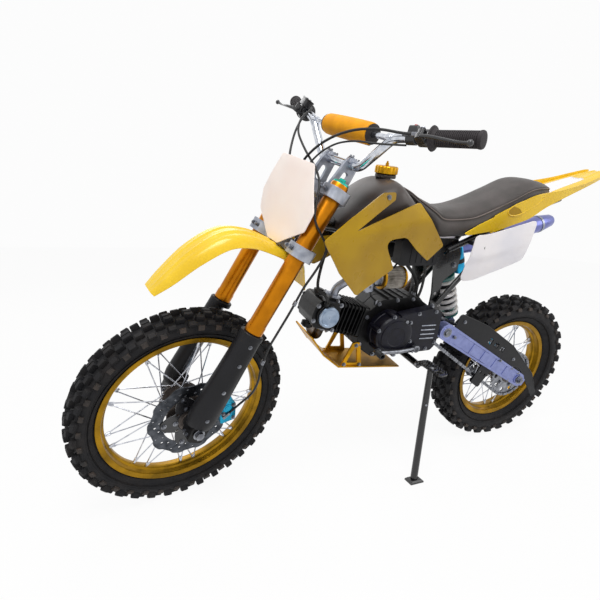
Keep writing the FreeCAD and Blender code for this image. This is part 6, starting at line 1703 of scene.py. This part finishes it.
def buildPegs():
    x, z = pegs["x"], pegs["z"]
    crossBar = rod((x, -112, z), (x, 112, z), 10, sides=28)
    tabs = joined(*[block((x + 6, y, z), (x + 36, y + 10, 404.7)) for y in (-35, 25)])
    neck = rod((x, 100, z), (x + 2, 138, z + 20), 7)
    length, width = pegs["length"], pegs["width"]
    deck = plate(rounded([(0, 0, 2), (width, 0, 2), (width, length, 9), (0, length, 9)]), 0, 5,
                 [rounded([(6, 10, 3), (width - 6, 10, 3), (width - 6, length - 8, 5), (6, length - 8, 5)])], "flat")
    teeth = []
    for i in range(9):
        for a in (0, width - 4):
            y = 3 + i * (length - 12) / 8.4
            teeth.append(loft([[(a, y, 4.5), (a + 4, y, 4.5), (a + 4, y + 6, 4.5), (a, y + 6, 4.5)],
                               [(a + 0.8, y + 2, 9), (a + 3.2, y + 2, 9), (a + 3.2, y + 4, 9), (a + 0.8, y + 4, 9)]]))
    bars = [block((4, 28 + 24 * k, 0.5), (width - 4, 33 + 24 * k, 4.5)) for k in range(2)]
    place = Matrix.Translation((x - 14, 126, z + 18)) @ Matrix.Rotation(radians(8), 4, "Z")
    peg = moved(joined(deck, *teeth, *bars), place)
    yoke = rod((x - 10, 128, z + 16), (x + 24, 128, z + 16), 9, sides=24)
    toMachine = standFrame()
    lug = rod(toMachine @ Vector((0, 0, -13)), toMachine @ Vector((0, 0, -0.5)), 13, sides=32)
    link = rod((x, 98, z), toMachine @ Vector((0, 0, -9)), 6)
    built("footrests", joined(crossBar, tabs, bothSides(joined(neck, peg, yoke)), lug, link), "black_frame",
          nodes=["footrests"], bevel=0.5)
    pins = rod((x - 14, 128, z + 16), (x + 28, 128, z + 16), 4.5, sides=16)
    built("pegPins", bothSides(pins), "steel")


def buildStand():
    toMachine = standFrame()
    head = joined(rod(toMachine @ Vector((0, 0, 0)), toMachine @ Vector((0, 0, 13)), 13, sides=32),
                  rod(toMachine @ Vector((0, 0, -14)), toMachine @ Vector((0, 0, 15)), 5, sides=24))
    start = toMachine @ Vector((0, 0, 10))
    node = frame["nodes"]["side_stand"]
    flat = [p for p in (node.matrix_world @ v.co for v in node.data.vertices) if p.z < 0.0005]
    base = Vector((min(p.x for p in flat) + 0.024, min(p.y for p in flat) + 0.015, 0))
    ankle = machine.inverted() @ (base + Vector((0, 0, 0.010)))
    run = ankle - start
    leg = tube([start, start + run * 0.5 + Vector((2, 2, 0)), ankle], [9, 10.5, 11], 24)
    built("standLeg", joined(head, leg), "black_frame", machine, "side_stand_leg", nodes=["side_stand"], bevel=0.5)
    rows = [[(a * s, b * s + 2, height) for a, b in ((-24, -17), (24, -17), (24, 17), (-24, 17))]
            for s, height in ((1.0, 0), (1.0, 5), (0.72, 10))]
    built("standFoot", loft(rows), "black_frame", Matrix.Translation(base) @ Matrix.Scale(0.001, 4), "side_stand_leg",
          bevel=1)
    knee = start + run * 0.32
    peg = rod(knee, knee + Vector((6, 12, 0)), 3.6, sides=16)
    nut = hexBolt(toMachine @ Vector((0, 0, 13)), toMachine.to_3x3() @ Vector((0, 0, 1)), 7, 6)
    built("standPins", joined(peg, nut), "steel", machine, "side_stand_leg")


def buildFootControls():
    y = 106.3
    gear = bent([(498, y + 9, 454), (560, y + 14, 452), (634, y + 20, 459)], 5.6, 40, 18, 8)
    hub = joined(rod((498, y + 3, 454), (498, y + 15, 454), 11, sides=32),
                 rod((498, y - 3, 454), (498, y + 15, 454), 6))
    toe = rod((636, y + 6, 459), (636, y + 16, 459), 6)
    built("gearLever", joined(gear, hub, toe), "steel", nodes=["gear_lever"], bevel=0.5)
    rubber = lathe([(5.4, 14), (9, 14)] + [(r, a) for k in range(6) for r, a in ((9.2, 17 + 4 * k), (8.0, 19 + 4 * k))]
                   + [(9, 43), (7, 44.4), (5.4, 44)], 32)
    built("gearLeverRubber", rubber, "steel", shifted(machine, 636, y, 459), material=sealRubber)
    built("gearLeverBolt", hexBolt((508, y + 9, 447), (0.5, 0.2, -1), 4, 5), "steel")
    right = -92.3
    kick = joined(rod((500, right - 56, 520), (500, right, 520), 9, sides=28),
                  bent([(500, right - 50, 520), (482, right - 60, 600), (420, right - 62, 700)], 8, 40, 20, 8))
    built("kickLever", kick, "steel", nodes=["kick_lever"], bevel=0.5)
    built("kickRubber", rod((420, right - 104, 700), (420, right - 50, 700), 11, sides=32), "steel",
          bevel=2, material=sealRubber)
    y = -130
    pedal = joined(bent([(500, y, 404), (540, y - 6, 398), (600, y - 14, 396), (655, y - 16, 408)], 6, 40, 18, 8),
                   rod((500, y - 8, 404), (500, y + 8, 404), 12, sides=28),
                   rod((500, y + 4, 404), (500, y + 22, 404), 7))
    step = roundedBox((640, y - 30), (674, y + 2), 5, 410, 418, "flat")
    teeth = [block((642 + 8 * i, y - 28, 417.5), (645 + 8 * i, y, 420.5)) for i in range(4)]
    built("brakePedal", joined(pedal, step, *teeth), "black_frame", nodes=["brake_pedal"], bevel=0.6)


def buildSkidPlate():
    face = [(500, 362), (716, 384), (770, 428), (812, 484)]
    low = rounded([(500, 362, 1), (716, 384, 22), (770, 428, 22), (812, 484, 1), (808, 486, 1), (767, 431, 20),
                   (714, 388, 20), (499, 366, 1)], 6)
    sheetMetal = plate(low, -60, 60)
    edges = []
    for way in (1, -1):
        edges.append(tube([(x, way * 59, z + 2) for x, z in face], 2.6, 8))
    swages = [bent([(x, y, z - 0.6) for x, z in ((520, 364.4), (700, 382.5))], 2.6, 10, 10) for y in (-36, -12, 12, 36)]
    built("skidSheet", joined(sheetMetal, *edges, *swages), "gold_metal", nodes=["skid_plate"], bevel=0.6)
    outline = rounded([(636, 378, 1), (706, 385, 1), (676, 458, 8), (652, 458, 8)])
    window = rounded([(652, 391, 4), (690, 395, 4), (669, 440, 4), (661, 440, 4)])
    bracket = plate(outline, 50.3, 55.3, [window, circle(664, 449, 4, 20)])
    built("skidBrackets", bothSides(bracket), "gold_metal", bevel=0.8)
    bolts = [(664, 55.3, 449), (644, 55.3, 384), (697, 55.3, 390)]
    built("skidBolts", bothSides(hexBolts(bolts, (0, 1, 0), 4.4, 5)), "steel")


buildPegs()
buildStand()
buildFootControls()
buildSkidPlate()
print("feet and skid plate ready")


# Studio

studio = {"floor": "#f2f1f0", "lampSize": 1.8, "keyWatts": 92, "fillWatts": 22, "worldStrength": 0.38,
          "floorShown": 0.94, "skyShown": 0.975}
floorMesh = bpy.data.meshes.new("floor")
floorMesh.from_pydata([(-9, -9, 0), (9, -9, 0), (9, 9, 0), (-9, 9, 0)], [], [(0, 1, 2, 3)])
floor = bpy.data.objects.new("floor", floorMesh)
bpy.context.scene.collection.objects.link(floor)
floorMaterial, floorTree, floorShader = startMaterial("paleFloor", roughness=0.9)
floorShader.inputs["Base Color"].default_value = linear(studio["floor"])
floorPath = addNode(floorTree, "ShaderNodeLightPath")


def eitherOf(tree, first, second):
    return addNode(tree, "ShaderNodeMath", {0: first, 1: second}, operation="MAXIMUM").outputs["Value"]


def shownRays(tree, path):       # the rays that may see the white studio
    bright = eitherOf(tree, path.outputs["Is Camera Ray"], path.outputs["Is Glossy Ray"])
    return eitherOf(tree, bright, path.outputs["Is Transmission Ray"])


floorShare = addNode(floorTree, "ShaderNodeMath", {0: shownRays(floorTree, floorPath), 1: studio["floorShown"]},
                     operation="MULTIPLY")
floorGlow = addNode(floorTree, "ShaderNodeEmission", {"Color": (1, 1, 1, 1), "Strength": 1.0})
floorMix = addNode(floorTree, "ShaderNodeMixShader", {0: floorShare.outputs["Value"], 1: floorShader.outputs["BSDF"],
                                                      2: floorGlow.outputs["Emission"]})
floorTree.links.new(floorMix.outputs["Shader"], floorTree.nodes["Material Output"].inputs["Surface"])
floorMesh.materials.append(floorMaterial)

world = bpy.context.scene.world or bpy.data.worlds.new("studio")
bpy.context.scene.world = world
world.use_nodes = True
sky = world.node_tree
skyPath = addNode(sky, "ShaderNodeLightPath")
skyLevel = addNode(sky, "ShaderNodeMapRange", {"Value": shownRays(sky, skyPath),
                                               "To Min": studio["worldStrength"], "To Max": studio["skyShown"]})
sky.links.new(skyLevel.outputs["Result"], sky.nodes["Background"].inputs["Strength"])
sky.nodes["Background"].inputs["Color"].default_value = (1, 1, 1, 1)


def addLamp(name, place, watts, size):
    lamp = bpy.data.lights.new(name, "AREA")
    lamp.energy = watts
    lamp.size = size
    holder = bpy.data.objects.new(name, lamp)
    holder.location = place
    holder.rotation_euler = (Vector((0, -0.1, 0.5)) - Vector(place)).to_track_quat("-Z", "Y").to_euler()
    bpy.context.scene.collection.objects.link(holder)


addLamp("keyLamp", (1.0, 1.4, 3.6), studio["keyWatts"], studio["lampSize"])
addLamp("fillLamp", (-2.6, 1.6, 2.0), studio["fillWatts"], studio["lampSize"])
addLamp("backLamp", (0.2, -3.0, 2.6), studio["fillWatts"], studio["lampSize"])

camera = {"azimuth": 156.57, "elevation": 10.94, "distance": 1.337, "roll": 2.08, "lens": 26.36,
          "target": (0.2078, -0.2088, 0.5478)}
turn, rise = radians(camera["azimuth"]), radians(camera["elevation"])
backwards = Vector((sin(turn) * cos(rise), -cos(turn) * cos(rise), sin(rise)))
lens = bpy.data.cameras.new("camera")
lens.lens = camera["lens"]
eye = bpy.data.objects.new("camera", lens)
bpy.context.scene.collection.objects.link(eye)
eye.rotation_mode = "QUATERNION"
eye.location = Vector(camera["target"]) + backwards * camera["distance"]
rolled = Matrix.Rotation(radians(camera["roll"]), 3, "Z").to_quaternion()
eye.rotation_quaternion = (-backwards).to_track_quat("-Z", "Y") @ rolled
bpy.context.scene.camera = eye
bpy.context.scene.view_settings.view_transform = "Standard"
print("studio and camera ready")
